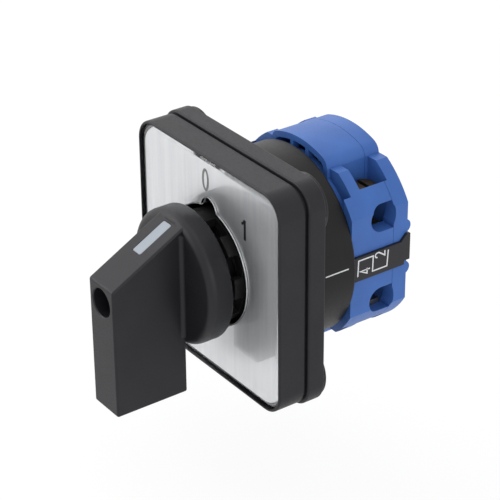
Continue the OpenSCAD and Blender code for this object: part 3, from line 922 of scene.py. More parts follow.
@dataclass
class Knob(SubAssembly):
    """The knob: a disc with a narrow grip across it, its pointer and its screw."""

    grip_width: float = 8.3
    disc_edge: float = 1.7
    grip_edge: float = 0.45
    disc_depth: float = 5.1
    slope_top: float = 12.4
    grip_top: float = 3.85
    overhang: float = 2.3
    root: float = 2.0
    hole_radius: float = 2.95
    hole_depth: float = 8.8
    fillet: float = 0.9
    pointer_width: float = 2.6
    pointer_length: float = 8.3
    pointer_inset: float = 0.4
    pointer_corner: float = 0.4
    pointer_thickness: float = 0.75
    pointer_play: float = 0.05
    socket_half: float = 3.05
    boss_radius: float = 7.0
    boss_length: float = 5.0

    def slope(self, front: float, disc_front: float) -> Matrix:
        """Returns the place of the slope's top end, with X across it and -Y down it."""
        angle = math.atan2(self.slope_top - self.grip_top, disc_front - front)
        return Matrix.Translation((0, disc_front, self.slope_top)) @ Matrix.Rotation(angle, 4, "X")

    def grip(self, box: Extent, disc_front: float) -> list[Piece]:
        """Makes the grip with its slope, and the fillets along its sides.

        Args:
            box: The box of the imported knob.
            disc_front: Station of the disc's front.

        Returns:
            The grip and the fillets, to be joined to the disc.
        """
        radius, front, tail = box.hi.x, box.lo.y, box.lo.z
        steep = (self.slope_top - self.grip_top) / (disc_front - front)
        heel, root = disc_front + 0.4, disc_front + self.root
        side = [
            (front, tail),
            (heel, tail),
            (heel, self.overhang - radius),
            (root, self.overhang - radius),
            (root, self.slope_top + self.root * steep),
            (front, self.grip_top),
        ]
        half = self.grip_width / 2
        grip = soften(prism("grip", side, -half, half, Axis.X), self.grip_edge, 5, 20)
        inner, outer, under = half - 0.3, half + self.fillet, disc_front + 0.5
        top = disc_front - self.fillet
        shape = [(inner, under), (outer, under)]
        shape += arc(outer, top, self.fillet, 90, 180, 8) + [(inner, top)]
        flares = []
        for sign in (-1, 1):
            outline = [(sign * u, v) for u, v in shape]
            flares.append(prism("flare", outline, -radius, radius, Axis.Z))
        keep_radius = radius - self.disc_edge - 0.1
        keep = drum("keep", keep_radius, disc_front - 3, disc_front + PAST)
        return [grip, carve(merged("rails", flares), [keep], Cut.COMMON)]

    def build(self) -> None:
        """Makes the knob's moulding, its pointer bar and its screw."""
        box = Extent.of("knob")
        front, boss_rear = box.lo.y, box.hi.y
        rear = boss_rear - self.boss_length
        disc_front = rear - self.disc_depth
        knob = drum("knob_moulding", box.hi.x, disc_front, rear, self.disc_edge, 0.4)
        boss = drum("boss", self.boss_radius, rear - PAST, boss_rear, 0, 0.2)
        carve(knob, self.grip(box, disc_front) + [boss], Cut.WITH)
        seat = front + self.hole_depth
        hole = drum("hole", self.hole_radius, front + 0.1, seat)
        rims = ((self.hole_radius + 0.4, front - 0.2), (self.hole_radius, front + 0.2))
        mouth = loft("mouth", [[(x, y, z) for x, z in circle(r)] for r, y in rims])
        place = self.slope(front, disc_front)
        play = self.pointer_play
        floor = -self.pointer_thickness - play
        pocket = prism("pocket", self.pointer_outline(play), floor, 2, Axis.Z)
        socket = slab("socket", self.socket_half, 0.3, disc_front - 2, boss_rear + PAST)
        carve(knob, [hole, mouth, moved(pocket, place), socket])
        self.place(knob, "nylon_moulded_black_knob", "knob_plastic", ["knob"], Body.ROTOR)
        outline = self.pointer_outline(0.0)
        bar = prism("pointer_bar", outline, -self.pointer_thickness, 0.0, Axis.Z)
        moved(soften(bar, 0.12, 2), place)
        self.place(bar, "abs_moulded_pale_grey", "pointer_plastic", ["pointer_insert"], Body.ROTOR)
        screw = SlottedScrew(2.5, 2.0, 1.5, 6.9).build("knob_screw_slotted")
        face = Matrix.Translation((0, seat, 0)) @ Matrix.Rotation(math.pi / 2, 4, "X")
        moved(screw, face)
        self.place(screw, "steel_zinc_plated", "zinc_steel", ["knob_screw"], Body.ROTOR)

    def pointer_outline(self, gap: float) -> Outline:
        """Draws the pointer bar on the slope.

        Args:
            gap: How far the outline is widened.

        Returns:
            The points, in order.
        """
        half_u, half_v = self.pointer_width / 2 + gap, self.pointer_length / 2 + gap
        middle = -self.pointer_inset - self.pointer_length / 2
        return [(u, v + middle) for u, v in rounded_box(half_u, half_v, self.pointer_corner + gap)]


@dataclass
class Shaft(SubAssembly):
    """The square shaft, the ring that holds it and the cam at its rear."""

    corner: float = 0.35
    play: float = 0.05
    tap_radius: float = 1.5
    tap_depth: float = 8.9
    cam_middle: float = 17.7
    cam_half: float = 3.1
    cam_low: float = 5.222
    cam_high: float = 7.578
    cam_ramp: float = 7.4
    cam_fall: float = 2.178
    hub_radius: float = 5.2

    def build(self) -> None:
        """Makes the shaft, the retaining ring and the cam's moulding."""
        box = Extent.of("square_shaft")
        half = box.hi.x

        def outline(inset: float) -> Outline:
            """Returns the shaft's outline moved in by a distance, its corners unchanged."""
            return rounded_box(half - inset, half - inset, self.corner, 3)

        bar = rounded("shaft_bar", outline, box.lo.y, box.hi.y, 0.2, 0.3)
        tap = drum("tap", self.tap_radius, box.lo.y - PAST, box.lo.y + self.tap_depth, sides=48)
        carve(bar, [tap])
        self.place(bar, "steel_zinc_plated", "zinc_steel", ["square_shaft"], Body.ROTOR)
        ring = Extent.of("retaining_ring")
        washer = drum("retaining_washer", ring.hi.x, ring.lo.y, ring.hi.y, 0.12, 0.12)
        inner = half + self.play
        eye = prism("eye", rounded_box(inner, inner, 0.1, 2), ring.lo.y - PAST, ring.hi.y + PAST)
        carve(washer, [eye])
        self.place(washer, "steel_wire_drawn", "spring_steel", ["retaining_ring"], Body.ROTOR)
        cam = Extent.of("switching_cam")
        profile: Outline = []
        for degrees in range(0, 360, 3):
            reach, a = self.lobe(degrees % 180), math.radians(degrees)
            profile.append((reach * math.sin(a), reach * math.cos(a)))
        lo, hi = self.cam_middle - self.cam_half, self.cam_middle + self.cam_half
        lobes = prism("cam_moulding", profile, lo, hi)
        hub = drum("hub", self.hub_radius, cam.lo.y, cam.hi.y, 0.1, 0.15)
        hole = slab("hole", inner, 0.2, cam.lo.y - PAST, cam.hi.y + PAST)
        carve(lobes, [hub], Cut.WITH)
        carve(lobes, [hole])
        self.place(lobes, "acetal_moulded_natural", "nylon", ["switching_cam"], Body.ROTOR)

    def lobe(self, angle: float) -> float:
        """Finds the cam's radius: it rises up to 4 degrees, stays, and falls after 100.

        Args:
            angle: Angle from the top, within half a turn.

        Returns:
            The radius there.
        """
        phi = angle - 180 if angle > 125 else angle
        if phi > 100:
            return self.cam_ramp - min(1.0, (phi - 100) / 25) * self.cam_fall
        if phi > 4:
            return self.cam_high
        if phi > -49:
            return self.cam_ramp + phi * 2 / 45
        return self.cam_low


@dataclass
class FrontPlate(SubAssembly):
    """The square front: base, bezel, label, clear cover and toothed collar."""

    corner: float = 5.0
    rim: float = 0.6
    rim_ease: float = 0.08
    label_edge: float = 0.6
    label_corner: float = 4.9
    hole_half: float = 18.0
    pad_height: float = 0.6
    opening_radius: float = 12.4
    keyway_radius: float = 2.6
    collar_wall: float = 1.9
    teeth: int = 8
    tooth_length: float = 2.0
    tooth_half_angle: float = 11.0
    pad_radius: float = 6.0
    screw_hole: float = 2.1
    head_radius: float = 3.9
    head_depth: float = 1.4
    nut_radius: float = 3.24
    nut_depth: float = 2.5
    middle_radius: float = 6.4
    label_margin: float = 0.15
    notch_radius: float = 0.75
    cover_depth: float = 1.3
    label_depth: float = 1.8
    bezel_wall: float = 1.8
    bezel_floor: float = 3.4
    lap: float = 0.5
    neck_step: float = 0.9
    tongue_step: float = 2.25
    room_step: float = 3.65

    def build(self) -> None:
        """Makes the five pieces of the front plate."""
        self.base()
        self.bezel()
        self.label()
        self.cover()
        self.numerals()
        self.collar()

    def opening(self, margin: float) -> Outline:
        """Draws the opening with its keyway.

        Args:
            margin: How far the outline is widened.

        Returns:
            The points, in order.
        """
        radius, key = self.opening_radius + margin, self.keyway_radius + margin
        rise = self.opening_radius - 0.5
        v = (rise * rise + radius * radius - key * key) / (2 * rise)
        u = math.sqrt(radius * radius - v * v)
        meet = math.degrees(math.atan2(v, u))
        start = math.degrees(math.atan2(v - rise, u))
        around = arc(0, 0, radius, 180 - meet, 360 + meet, 150)
        return around + arc(0, rise, key, start, 180 - start, 24)[1:-1]

    def opening_tool(self, margin: float, front: float, rear: float, flare: float = 0.0) -> Piece:
        """Makes the solid that cuts the opening and breaks its two edges.

        Args:
            margin: How far the opening is widened.
            front: Station of the cut face.
            rear: Station of the face behind it.
            flare: Width of the broken edges.

        Returns:
            The tool.
        """
        levels = [(front - PAST, flare), (front, flare), (front + flare + 0.01, 0.0)]
        levels += [(rear - flare - 0.01, 0.0), (rear, flare), (rear + PAST, flare)]
        rings = [[(u, y, v) for u, v in self.opening(margin + extra)] for y, extra in levels]
        return loft("opening", rings)

    def base(self) -> None:
        """Makes the base plate with its pads, holes and the shadow groove at its front."""
        box = Extent.of("base_plate")
        half = box.hi.x
        front = Extent.of("bezel_frame").hi.y
        seat = Extent.of("detent_housing")
        rear = box.hi.y - self.pad_height
        plate = slab("base_moulding", half, self.corner, front + self.lap, rear, 0.4, 0.35)
        step = self.neck_step
        neck = slab("neck", half - step, self.corner - step, front, rear - self.lap)
        tongue = slab("tongue", half - self.tongue_step, 3.2, box.lo.y, rear - PAST, 0.1)
        room = slab("room", half - self.room_step, 1.8, box.lo.y - PAST, front)
        carve(tongue, [room])
        places = [(x * self.hole_half, z * self.hole_half) for x in (-1, 1) for z in (-1, 1)]
        pads = [
            drum("pad", self.pad_radius, rear - PAST, box.hi.y, 0, 0.25, centre=c, sides=64)
            for c in places
        ]
        carve(plate, [neck, tongue] + pads, Cut.WITH)
        tools = []
        ahead, behind = front - PAST, box.hi.y + PAST
        for c in places:
            tools.append(drum("hole", self.screw_hole, ahead, behind, centre=c, sides=48))
            depth = front + self.head_depth
            tools.append(drum("head", self.head_radius, ahead, depth, centre=c, sides=48))
        tools.append(drum("middle", self.middle_radius, ahead, behind))
        tools.append(drum("seat", seat.hi.x + 0.05, seat.lo.y, behind, sides=160))
        for x in (-TIE_X, TIE_X):
            tools.append(drum("tie", TIE_HOLE, ahead, behind, centre=(x, 0), sides=32))
            hexagon = circle(self.nut_radius, 6, x)
            tools.append(prism("hex", hexagon, ahead, front + self.nut_depth))
        carve(plate, tools)
        self.place(plate, "pbt_moulded_charcoal_plate", "plate_plastic", ["base_plate"])

    def bezel(self) -> None:
        """Makes the frame that holds the label and the cover."""
        box = Extent.of("bezel_frame")
        half, front, rear = box.hi.x, box.lo.y, box.hi.y
        frame = slab("bezel_moulding", half, self.corner, front, rear, 0.4, 0.25)
        seat = half - self.rim
        corner = self.corner - self.rim
        recess = slab("recess", seat, corner, front + 0.05, front + self.cover_depth)
        inner = seat - self.label_edge
        pocket = slab("pocket", inner, self.label_corner, front, front + self.label_depth)
        ease = self.rim_ease
        lip = slab("lip", seat + ease, corner + ease, front - 0.2, front + ease + 0.01, 0, ease)
        wall, floor = self.bezel_wall, front + self.bezel_floor
        back = slab("back", half - wall, self.corner - wall, floor, rear + PAST, 0.3)
        hole = self.opening_tool(0.0, front, rear)
        carve(frame, [recess, pocket, lip, back, hole])
        self.place(frame, "pbt_moulded_charcoal_plate", "plate_plastic", ["bezel_frame"])

    def label(self) -> None:
        """Makes the brushed label with its opening."""
        box = Extent.of("label_plate")
        half = box.hi.x
        sheet = slab("label_sheet", half, self.label_corner, box.lo.y, box.hi.y, 0.08, 0.05)
        carve(sheet, [self.opening_tool(self.label_margin, box.lo.y, box.hi.y, 0.08)])
        self.place(sheet, "aluminium_sheet_brushed", "label_aluminium", ["label_plate"])

    def numerals(self) -> None:
        """Prints the two numerals on the label."""
        face = Extent.of("label_plate").lo.y
        film = (face - 0.015, face + 0.02)
        ring = prism("numeral_0", self.oval(1.16, 2.4), *film)
        carve(ring, [prism("inner", self.oval(0.5, 1.8), face - PAST, face + PAST)])
        moved(ring, Matrix.Translation((-1.2, 0, 17.95)))
        self.place(ring, "ink_printed_dark", "knob_plastic")
        upright = [(-0.34, -2.15), (0.34, -2.15), (0.34, 2.15), (-0.34, 2.15)]
        stem = prism("numeral_1", upright, *film)
        flag = prism("flag", stroke([(-1.05, 1.0), (-0.4, 1.45), (0.0, 2.1)], 0.55), *film)
        carve(stem, [flag], Cut.WITH)
        moved(stem, Matrix.Translation((11.6, 0, 12.5)))
        self.place(stem, "ink_printed_black", "knob_plastic")

    @staticmethod
    def oval(half_u: float, half_v: float) -> Outline:
        """Returns an oval of 48 points, from its top round to the right."""
        angles = [2 * math.pi * i / 48 for i in range(48)]
        return [(half_u * math.sin(a), half_v * math.cos(a)) for a in angles]

    def cover(self) -> None:
        """Makes the clear cover with bevelled edges."""
        box = Extent.of("clear_cover")
        half = box.hi.x
        corner = self.corner - self.rim
        rings = []
        for y, inset in ((box.lo.y, 1.1), (box.lo.y + 0.5, 0.06), (box.hi.y - 0.08, 0.0)):
            edge = rounded_box(half - inset, half - inset, corner - inset, 12)
            rings.append([(u, y, v) for u, v in edge])
        window = loft("cover_window", rings)
        ahead, behind = box.lo.y - PAST, box.hi.y + PAST
        notch = drum("notch", self.notch_radius, ahead, behind, centre=(0.0, half), sides=32)
        carve(window, [self.opening_tool(0.0, box.lo.y, box.hi.y, 0.22), notch])
        self.place(window, "acrylic_moulded_clear", "clear_plastic", ["clear_cover"])
        # The bevels round the opening and the outer side walls get the painted highlight: an
        # opaque pale colour in place of clear acrylic.
        window.data.materials.append(self.finishes["acrylic_edge_painted_highlight"])
        inner = (self.opening_radius + self.keyway_radius + 1) * MM
        for face in window.data.polygons:
            tilt = abs(face.normal.y)
            at_opening = math.hypot(face.center.x, face.center.z) < inner
            face.material_index = int(0.2 < tilt < 0.97 if at_opening else tilt < 0.5)

    def collar(self) -> None:
        """Makes the toothed ring inside the opening."""
        box = Extent.of("collar_ring")
        radius = box.hi.x
        ring = drum("toothed_collar", radius, box.lo.y, box.hi.y, 0.15)
        tools = [drum("bore", radius - self.collar_wall, box.lo.y - PAST, box.hi.y + PAST)]
        pitch = 360 / self.teeth
        half = math.radians(pitch / 2 - self.tooth_half_angle)
        reach = 2 * radius
        for i in range(self.teeth):
            middle = math.radians(pitch * (i + 0.5))
            points = [(0.0, 0.0)]
            for a in (middle - half, middle + half):
                points.append((reach * math.sin(a), reach * math.cos(a)))
            tools.append(prism("gap", points, box.lo.y - PAST, box.lo.y + self.tooth_length))
        carve(ring, tools)
        soften(ring, 0.12, 2)
        self.place(ring, "pbt_moulded_black_housing", "housing_plastic", ["collar_ring"])


@dataclass
class Housing(SubAssembly):
    """The round can behind the plate."""

    wall: float = 1.9
    groove: float = 0.12
    line_degrees: tuple[float, float] = (4.6, 5.3)

    def build(self) -> None:
        """Makes the can, closed at its front, with a fine mould line round it."""
        box = Extent.of("detent_housing")
        radius, front, rear = box.hi.x, box.lo.y, box.hi.y
        can = drum("housing_can", radius, front, rear, 0.3, 0.5, sides=160)
        room = drum("room", radius - self.wall, front + 2, rear + PAST)
        bore = drum("bore", HUB_BORE, front - PAST, rear)
        seam = drum("seam", radius + 2, front + 1.9, front + 2.0, sides=160)
        core = drum("core", radius - self.groove, front + PAST, front + 3, sides=160)
        carve(seam, [core])
        carve(can, [room, bore, seam])
        self.place(can, "pbt_moulded_black_housing", "housing_plastic", ["detent_housing"])
        line = self.printed_line(radius, front)
        self.place(line, "ink_printed_white", "pointer_plastic")

    def printed_line(self, radius: float, front: float) -> Piece:
        """Draws the short white line printed along the can's right-hand side.

        Args:
            radius: Radius of the can.
            front: Station of its front.

        Returns:
            The line, a thin film on the round wall.
        """
        rings = []
        lo, hi = self.line_degrees
        for y in (front + 3.9, front + 9.5):
            inner = arc(0, 0, radius - 0.02, lo, hi, 4)
            outer = arc(0, 0, radius + 0.015, lo, hi, 4)
            rings.append([(u, y, v) for u, v in inner + outer[::-1]])
        return loft("printed_line", rings)


def strip_outline(front: float, rear: float, gap: float, over: float) -> Outline:
    """Draws a marking strip's side, with the tab and the step at its rear end.

    Args:
        front: Station of the block's front.
        rear: Station of the block's rear.
        gap: Clearance all round, for the groove.
        over: How far a groove runs past the ends.

    Returns:
        The points, in Y and Z.
    """
    half, tab = STRIP_HALF + gap, STRIP_TAB
    end, step_length, step = rear + 0.4, 1.4, 0.85
    return [
        (front - over, -half),
        (end - step_length, -half),
        (end - step_length, step - half),
        (end + over, step - half),
        (end + over, half + tab),
        (rear - 0.5 - gap, half + tab),
        (rear - 0.5 - tab - gap, half),
        (front - over, half),
    ]


@dataclass
class ContactBlock(SubAssembly):
    """The blue block: two shells, with everything that shows in their openings."""

    radius: float = 21.2
    wing: float = 18.3
    shoulder: float = 17.8
    hood: float = 9.0
    hood_corner: float = 2.5
    wall: float = 1.3
    terminal_x: float = 12.2
    wire_z: float = 9.1
    wire_radius: float = 2.85
    clip_radius: float = 1.5
    floor_radius: float = 18.0
    pocket_x: float = 15.0
    chamber: float = 9.5
    web: float = 1.5
    rear_web: float = 1.7
    ledge: float = 1.1
    head_room: float = 2.2
    head_radius: float = 2.95
    seam_gap: float = 0.04
    edge: float = 0.3
    rib_x: float = 2.4
    rib_half: float = 0.45
    room_x: float = 8.9
    room_low: float = 5.0
    room_high: float = 12.2
    room_ahead: float = 3.2
    room_rear: float = 0.7
    pocket_low: float = 11.2
    pocket_front: float = 4.3
    groove_depth: float = 0.7
    rear_depth: float = 3.5
    terminal_ahead: float = 2.8
    far: float = 40.0
    stations: dict[str, float] = field(default_factory=dict)

    def build(self) -> None:
        """Makes the shells, with grooves for the strips on their sides, then the metal inside
        them.
        """
        front = Extent.of("contact_shell_front")
        self.stations = {
            "front": front.lo.y,
            "web": front.lo.y + self.web,
            "seam": front.hi.y,
            "rear": front.hi.y + self.rear_depth,
            "terminal": front.hi.y - self.terminal_ahead,
        }
        self.front_shell()
        self.rear_shell()
        self.contacts()
        self.terminals()
        self.tie_screws()

    def hood_outline(self, inset: float) -> Outline:
        """Draws the arched upper half of a hood.

        Args:
            inset: How far the outline is moved in.

        Returns:
            The points, in order.
        """
        radius, half = self.radius - inset, self.hood - inset
        corner = self.hood_corner - inset
        u = half - corner
        v = math.sqrt((radius - corner) ** 2 - u * u)
        lean = math.degrees(math.atan2(v, u))
        right = arc(u, v, corner, 0, lean, 6)
        top = arc(0, 0, radius, lean, 180 - lean, 24)
        left = arc(-u, v, corner, 180 - lean, 180, 6)
        return [(-half, 0.0), (half, 0.0)] + right + top[1:-1] + left

    def block_outline(self) -> Outline:
        """Draws the outline shared by both shells.

        Returns:
            The points, in order.
        """
        u = self.hood - self.hood_corner
        v = math.sqrt((self.radius - self.hood_corner) ** 2 - u * u)
        lean = math.degrees(math.atan2(v, u))
        start = math.degrees(math.asin((self.shoulder - v) / self.hood_corner))
        wing_angle = math.degrees(math.acos(self.wing / self.radius))
        shoulder_angle = math.degrees(math.asin(self.shoulder / self.radius))
        quarter = arc(0, 0, self.radius, wing_angle, shoulder_angle, 8)
        quarter += arc(u, v, self.hood_corner, start, lean, 6)
        quarter += arc(0, 0, self.radius, lean, 90, 12)[1:]
        upper = quarter + [(-a, b) for a, b in quarter[-2::-1]]
        return upper + [(a, -b) for a, b in upper[::-1]]

    def beyond_floor(self, name: str, u0: float, u1: float, y0: float, y1: float) -> Piece:
        """Returns a tool that clears a stretch outside the floor's radius, above the axis."""
        tool = brick(name, (u0, y0, 0), (u1, y1, self.far))
        return carve(tool, [drum("floor", self.floor_radius, y0 - PAST, y1 + PAST, sides=128)])

    def front_shell(self) -> None:
        """Makes the front shell with its hoods, windows, pockets and wire entries."""
        s = self.stations
        front, web, seam, y = s["front"], s["web"], s["seam"], s["terminal"]
        shell = prism("block_front_shell", self.block_outline(), front, seam - self.seam_gap)
        tools = [
            drum("chamber", self.chamber, web, seam + PAST),
            drum("bore", HUB_BORE, front - PAST, web + PAST),
        ]
        room = prism("room", self.hood_outline(self.wall), web + 1, seam + PAST)
        tools += above_and_below(room)
        window = prism("window", self.hood_outline(self.wall), front - PAST, web + 2)
        ledge = front + self.ledge
        gone = [drum("floor", self.floor_radius, front - 2, web + 3, sides=128)]
        half = self.rib_half
        for x in (-self.rib_x, self.rib_x):
            gone.append(brick("rib", (x - half, ledge, 0), (x + half, web + 3, self.far)))
        carve(window, gone)
        tools += above_and_below(window)
        front_edge = self.beyond_floor("ledge", -self.hood, self.hood, front - PAST, ledge)
        tools += above_and_below(front_edge)
        tools += left_and_right(self.tie_hole(front, seam))
        tools += left_and_right(self.groove())
        tools += all_four(self.pocket(front + self.pocket_front, seam + PAST))
        tools += all_four(self.terminal_room(y - self.room_ahead, seam + PAST))
        tools += all_four(brick("slot", (6.7, y - 2.6, 5.0), (9.9, seam + PAST, 9.1)))
        tools += all_four(self.wire_entry(seam))
        end_x = self.pocket_x + 0.6
        notch = self.beyond_floor("notch", self.hood, end_x, front - PAST, front + 1.8)
        tools += all_four(notch)
        carve(shell, tools)
        soften(shell, self.edge, 3, 30)
        self.place(shell, "polyamide_moulded_blue", "block_plastic", ["contact_shell_front"])

    def tie_hole(self, y0: float, y1: float) -> Piece:
        """Returns the tool for the right-hand tie screw's hole through a shell."""
        return drum("tie", TIE_HOLE, y0 - PAST, y1 + PAST, centre=(TIE_X, 0), sides=32)

    def terminal_room(self, y0: float, y1: float) -> Piece:
        """Returns the tool for the room that holds a terminal's clamp and contact."""
        inner, outer = (self.room_x, y0, self.room_low), (self.pocket_x, y1, self.room_high)
        return brick("room", inner, outer)

    def groove(self) -> Piece:
        """Returns the tool for the groove that holds the right-hand strip."""
        outline = strip_outline(self.stations["front"], self.stations["rear"], 0.05, 1.0)
        return prism("groove", outline, self.wing - self.groove_depth, self.far, Axis.X)

    def pocket(self, y0: float, y1: float) -> Piece:
        """Returns the tool for the open pocket above a terminal."""
        inner, outer = (self.hood, y0, self.pocket_low), (self.pocket_x, y1, self.far)
        return brick("pocket", inner, outer)

    def wire_entry(self, seam: float) -> Piece:
        """Makes the tool for a wire entry: round at the front, straight up to the seam.

        Args:
            seam: Station of the seam between the shells.

        Returns:
            The tool at the upper right terminal.
        """
        y, z, r = self.stations["terminal"], self.wire_z, self.wire_radius
        outline = arc(y, z, r, 90, 270, 24) + [(seam + PAST, z - r), (seam + PAST, z + r)]
        return prism("entry", outline, self.pocket_x - PAST, self.far, Axis.X)

    def rear_shell(self) -> None:
        """Makes the rear shell with its screw recesses and the bulge of each wire entry."""
        s = self.stations
        seam, rear = s["seam"], s["rear"]
        shell = prism("block_rear_shell", self.block_outline(), seam + self.seam_gap, rear)
        place = Extent.of("contact_shell_rear").hi.y - self.clip_radius
        upper = STRIP_HALF + STRIP_TAB + self.clip_radius
        for z in (upper, 0.4 - STRIP_HALF - self.clip_radius):
            clip = drum("clip", self.clip_radius, 14.0, self.wing, 0, 0, Axis.X, (place, z), 40)
            carve(shell, left_and_right(clip), Cut.WITH)
        web, seat = rear - self.rear_web, rear - self.head_room
        tools = [
            drum("chamber", self.chamber, seam - PAST, web),
            drum("bore", HUB_BORE, seam - PAST, rear + PAST),
        ]
        room = prism("room", self.hood_outline(self.wall), seam - PAST, web)
        tools += above_and_below(room)
        tools += left_and_right(self.tie_hole(seam, rear))
        head = drum("head", self.head_radius, seat, rear + PAST, centre=(TIE_X, 0), sides=64)
        tools += left_and_right(head)
        tools += left_and_right(self.groove())
        deep = seam + self.room_rear
        tools += all_four(self.pocket(seam - PAST, deep))
        tools += all_four(self.terminal_room(seam - PAST, deep))
        big = self.wire_radius * 1.8
        bulge = circle(big, 96, seam + 0.5 - big, self.wire_z)
        tools += all_four(prism("bulge", bulge, self.pocket_x - PAST, self.far, Axis.X))
        carve(shell, tools)
        soften(shell, self.edge, 3, 30)
        self.place(shell, "polyamide_moulded_blue", "block_plastic", ["contact_shell_rear"])

    def contacts(self) -> None:
        """Makes the four stamped contacts that lead from the terminals to the fixed tips."""
        for number, (x, z) in enumerate(((-1, 1), (1, 1), (-1, -1), (1, -1)), 1):
            box = Extent.of(f"fixed_contact_{number}")
            y0, y1 = box.lo.y, box.hi.y
            profile = [(14.8, 5.0), (14.8, 6.0), (9.0, 6.0), (9.0, 9.0), (3.9, 9.0), (3.9, 8.0)]
            profile += [(8.0, 8.0), (8.0, 5.0)]
            strip = prism(f"stamped_contact_{number}", profile, y0, y1)
            at = (self.terminal_x, (y0 + y1) / 2)
            hole = drum("hole", 1.55, 4, 7, axis=Axis.Z, centre=at, sides=32)
            carve(strip, [hole])
            soften(strip, 0.15, 2)
            moved(strip, Matrix.Diagonal((x, 1, z, 1)))
            self.place(strip, "brass_strip_stamped", "contact_brass", [f"fixed_contact_{number}"])

    def terminals(self) -> None:
        """Makes the four clamps and the four screws that press them onto the wires."""
        x, y = self.terminal_x, self.stations["terminal"]
        clamp = brick("clamp", (x - 2.6, y - 2.6, 11.0), (x + 2.6, y + 2.4, 12.0))
        hole = drum("hole", 1.6, 10, 13, axis=Axis.Z, centre=(x, y), sides=32)
        carve(clamp, [hole])
        soften(clamp, 0.2, 2)
        clamps = four_ways("wire_clamps", clamp)
        self.place(clamps, "steel_zinc_plated", "zinc_steel", ["terminal_clamps"])
        screw = SlottedScrew(2.5, 2.0, 1.5, 8.4).build("screw")
        moved(screw, Matrix.Translation((x, y, 12.0)))
        screws = four_ways("terminal_screws_slotted", screw)
        # The screws' dark brown colour is partly the yellow chromate and partly painted shade for
        # their shadowed pockets.
        self.place(screws, "steel_yellow_chromated_painted_shade", "zinc_steel", ["terminal_screws"])

    def tie_screws(self) -> None:
        """Makes the two long screws that hold the block to the front plate."""
        box = Extent.of("tie_screws")
        seat = self.stations["rear"] - self.head_room
        screw = SlottedScrew(2.7, 1.9, 1.5, seat - box.lo.y).build("screw")
        place = Matrix.Translation((TIE_X, seat, 0)) @ Matrix.Rotation(-math.pi / 2, 4, "X")
        moved(screw, place)
        pair = merged("tie_screws_slotted", left_and_right(screw))
        self.place(pair, "steel_zinc_plated", "zinc_steel", ["tie_screws"])


@dataclass
class MarkingStrips(SubAssembly):
    """The black strips on the block's sides, printed with the contacts' numbers."""

    print_width: float = 0.28
    digit_scale: tuple[float, float] = (0.58, 0.8)
    tail: float = 0.4

    def build(self) -> None:
        """Makes both strips and their print."""
        for side, sign, digits in (("right", 1, "42"), ("left", -1, "31")):
            node = f"marking_strip_{side}"
            box = Extent.of(node)
            inner, outer = sorted((abs(box.lo.x), abs(box.hi.x)))
            front, rear = box.lo.y, box.hi.y
            outline = strip_outline(front, rear - self.tail, 0.0, 0.0)
            strip = prism(f"strip_{side}", outline, inner, outer, Axis.X)
            soften(strip, 0.12, 2)
            moved(strip, Matrix.Diagonal((sign, 1, 1, 1)))
            self.place(strip, "polycarbonate_extruded_black", "strip_plastic", [node])
            marks = self.print_marks(digits, outer, front, sign)
            self.place(marks, "ink_printed_white", "pointer_plastic")

    def line(self, points: Outline, face: float) -> Piece:
        """Draws one printed line on the face of the right-hand strip."""
        return prism("line", stroke(points, self.print_width), face - 0.02, face + 0.02, Axis.X)

    def print_marks(self, digits: str, face: float, front: float, sign: int) -> Piece:
        """Draws the wiring bracket and two digits on a strip's face.

        Args:
            digits: The two digits, from the front to the rear.
            face: Distance of the strip's face from the axis.
            front: Station of the strip's front end.
            sign: 1 on the right-hand strip, -1 on the left.

        Returns:
            The print, as a thin film.
        """
        bracket = [(1.2, -1.5), (1.35, 1.95), (4.95, 1.95), (4.85, -1.4), (8.45, -1.4), (8.7, 2.1)]
        films = [self.line([(front + u, v) for u, v in bracket], face)]
        wide, tall = self.digit_scale
        for digit, u, v in zip(digits, (3.0, 6.65), (-0.8, 1.75)):
            for points in DIGITS[digit]:
                line = [(front + u - tall * b, v + wide * a) for a, b in points]
                films.append(self.line(line, face))
        name = f"strip_print_{'right' if sign > 0 else 'left'}"
        whole = merged(name, films)
        return moved(whole, Matrix.Diagonal((sign, 1, sign, 1)))


def digit_curve(u: float, v: float, ru: float, rv: float, start: float, end: float) -> Outline:
    """Returns part of an ellipse, for the round strokes of a digit."""
    return [(u + ru * a, v + rv * b) for a, b in arc(0, 0, 1, start, end, 12)]


# Strokes of the digits, each in a box two wide and three tall about its centre.
DIGITS: dict[str, list[Outline]] = {
    "1": [[(-0.6, 0.8), (0.1, 1.5), (0.1, -1.5)]],
    "2": [digit_curve(0, 0.65, 0.9, 0.85, 170, -35) + [(-0.9, -1.5), (0.95, -1.5)]],
    "3": [
        digit_curve(0, 0.75, 0.8, 0.75, 150, -90),
        digit_curve(0, -0.75, 0.9, 0.8, 90, -150),
    ],
    "4": [[(0.5, -1.5), (0.5, 1.5), (-0.95, -0.6), (1.0, -0.6)]],
}


@dataclass
class HiddenParts(SubAssembly):
    """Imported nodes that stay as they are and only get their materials."""

    nodes: dict[str, tuple[str, ...]] = field(
        default_factory=lambda: {
            "acetal_moulded_natural": (
                "stop_disc",
                "detent_wheel",
                "detent_slide_upper",
                "detent_slide_lower",
                "plunger_upper",
                "plunger_lower",
            ),
            "steel_zinc_plated": ("stop_pins", "tie_nuts"),
            "steel_wire_drawn": (
                "detent_spring_upper",
                "detent_spring_lower",
                "contact_spring_upper",
                "contact_spring_lower",
            ),
            "pbt_moulded_black_housing": ("bearing_plate",),
            "copper_strip_stamped": ("bridge_upper", "bridge_lower"),
            "silver_alloy_riveted": ("moving_tips_upper", "moving_tips_lower", "fixed_tips"),
        }
    )

    def build(self, packed: dict[str, Piece]) -> None:
        """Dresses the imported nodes.

        Args:
            packed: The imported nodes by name.
        """
        for finish, nodes in self.nodes.items():
            for node in nodes:
                piece = packed[node]
                if not piece.material_slots:
                    piece.data.materials.append(self.finishes[finish])
                for slot in piece.material_slots:
                    slot.material = self.finishes[finish]
                LOG.info("%s: dressed as %s", node, finish)


# ---------------------------------------------------------------- studio


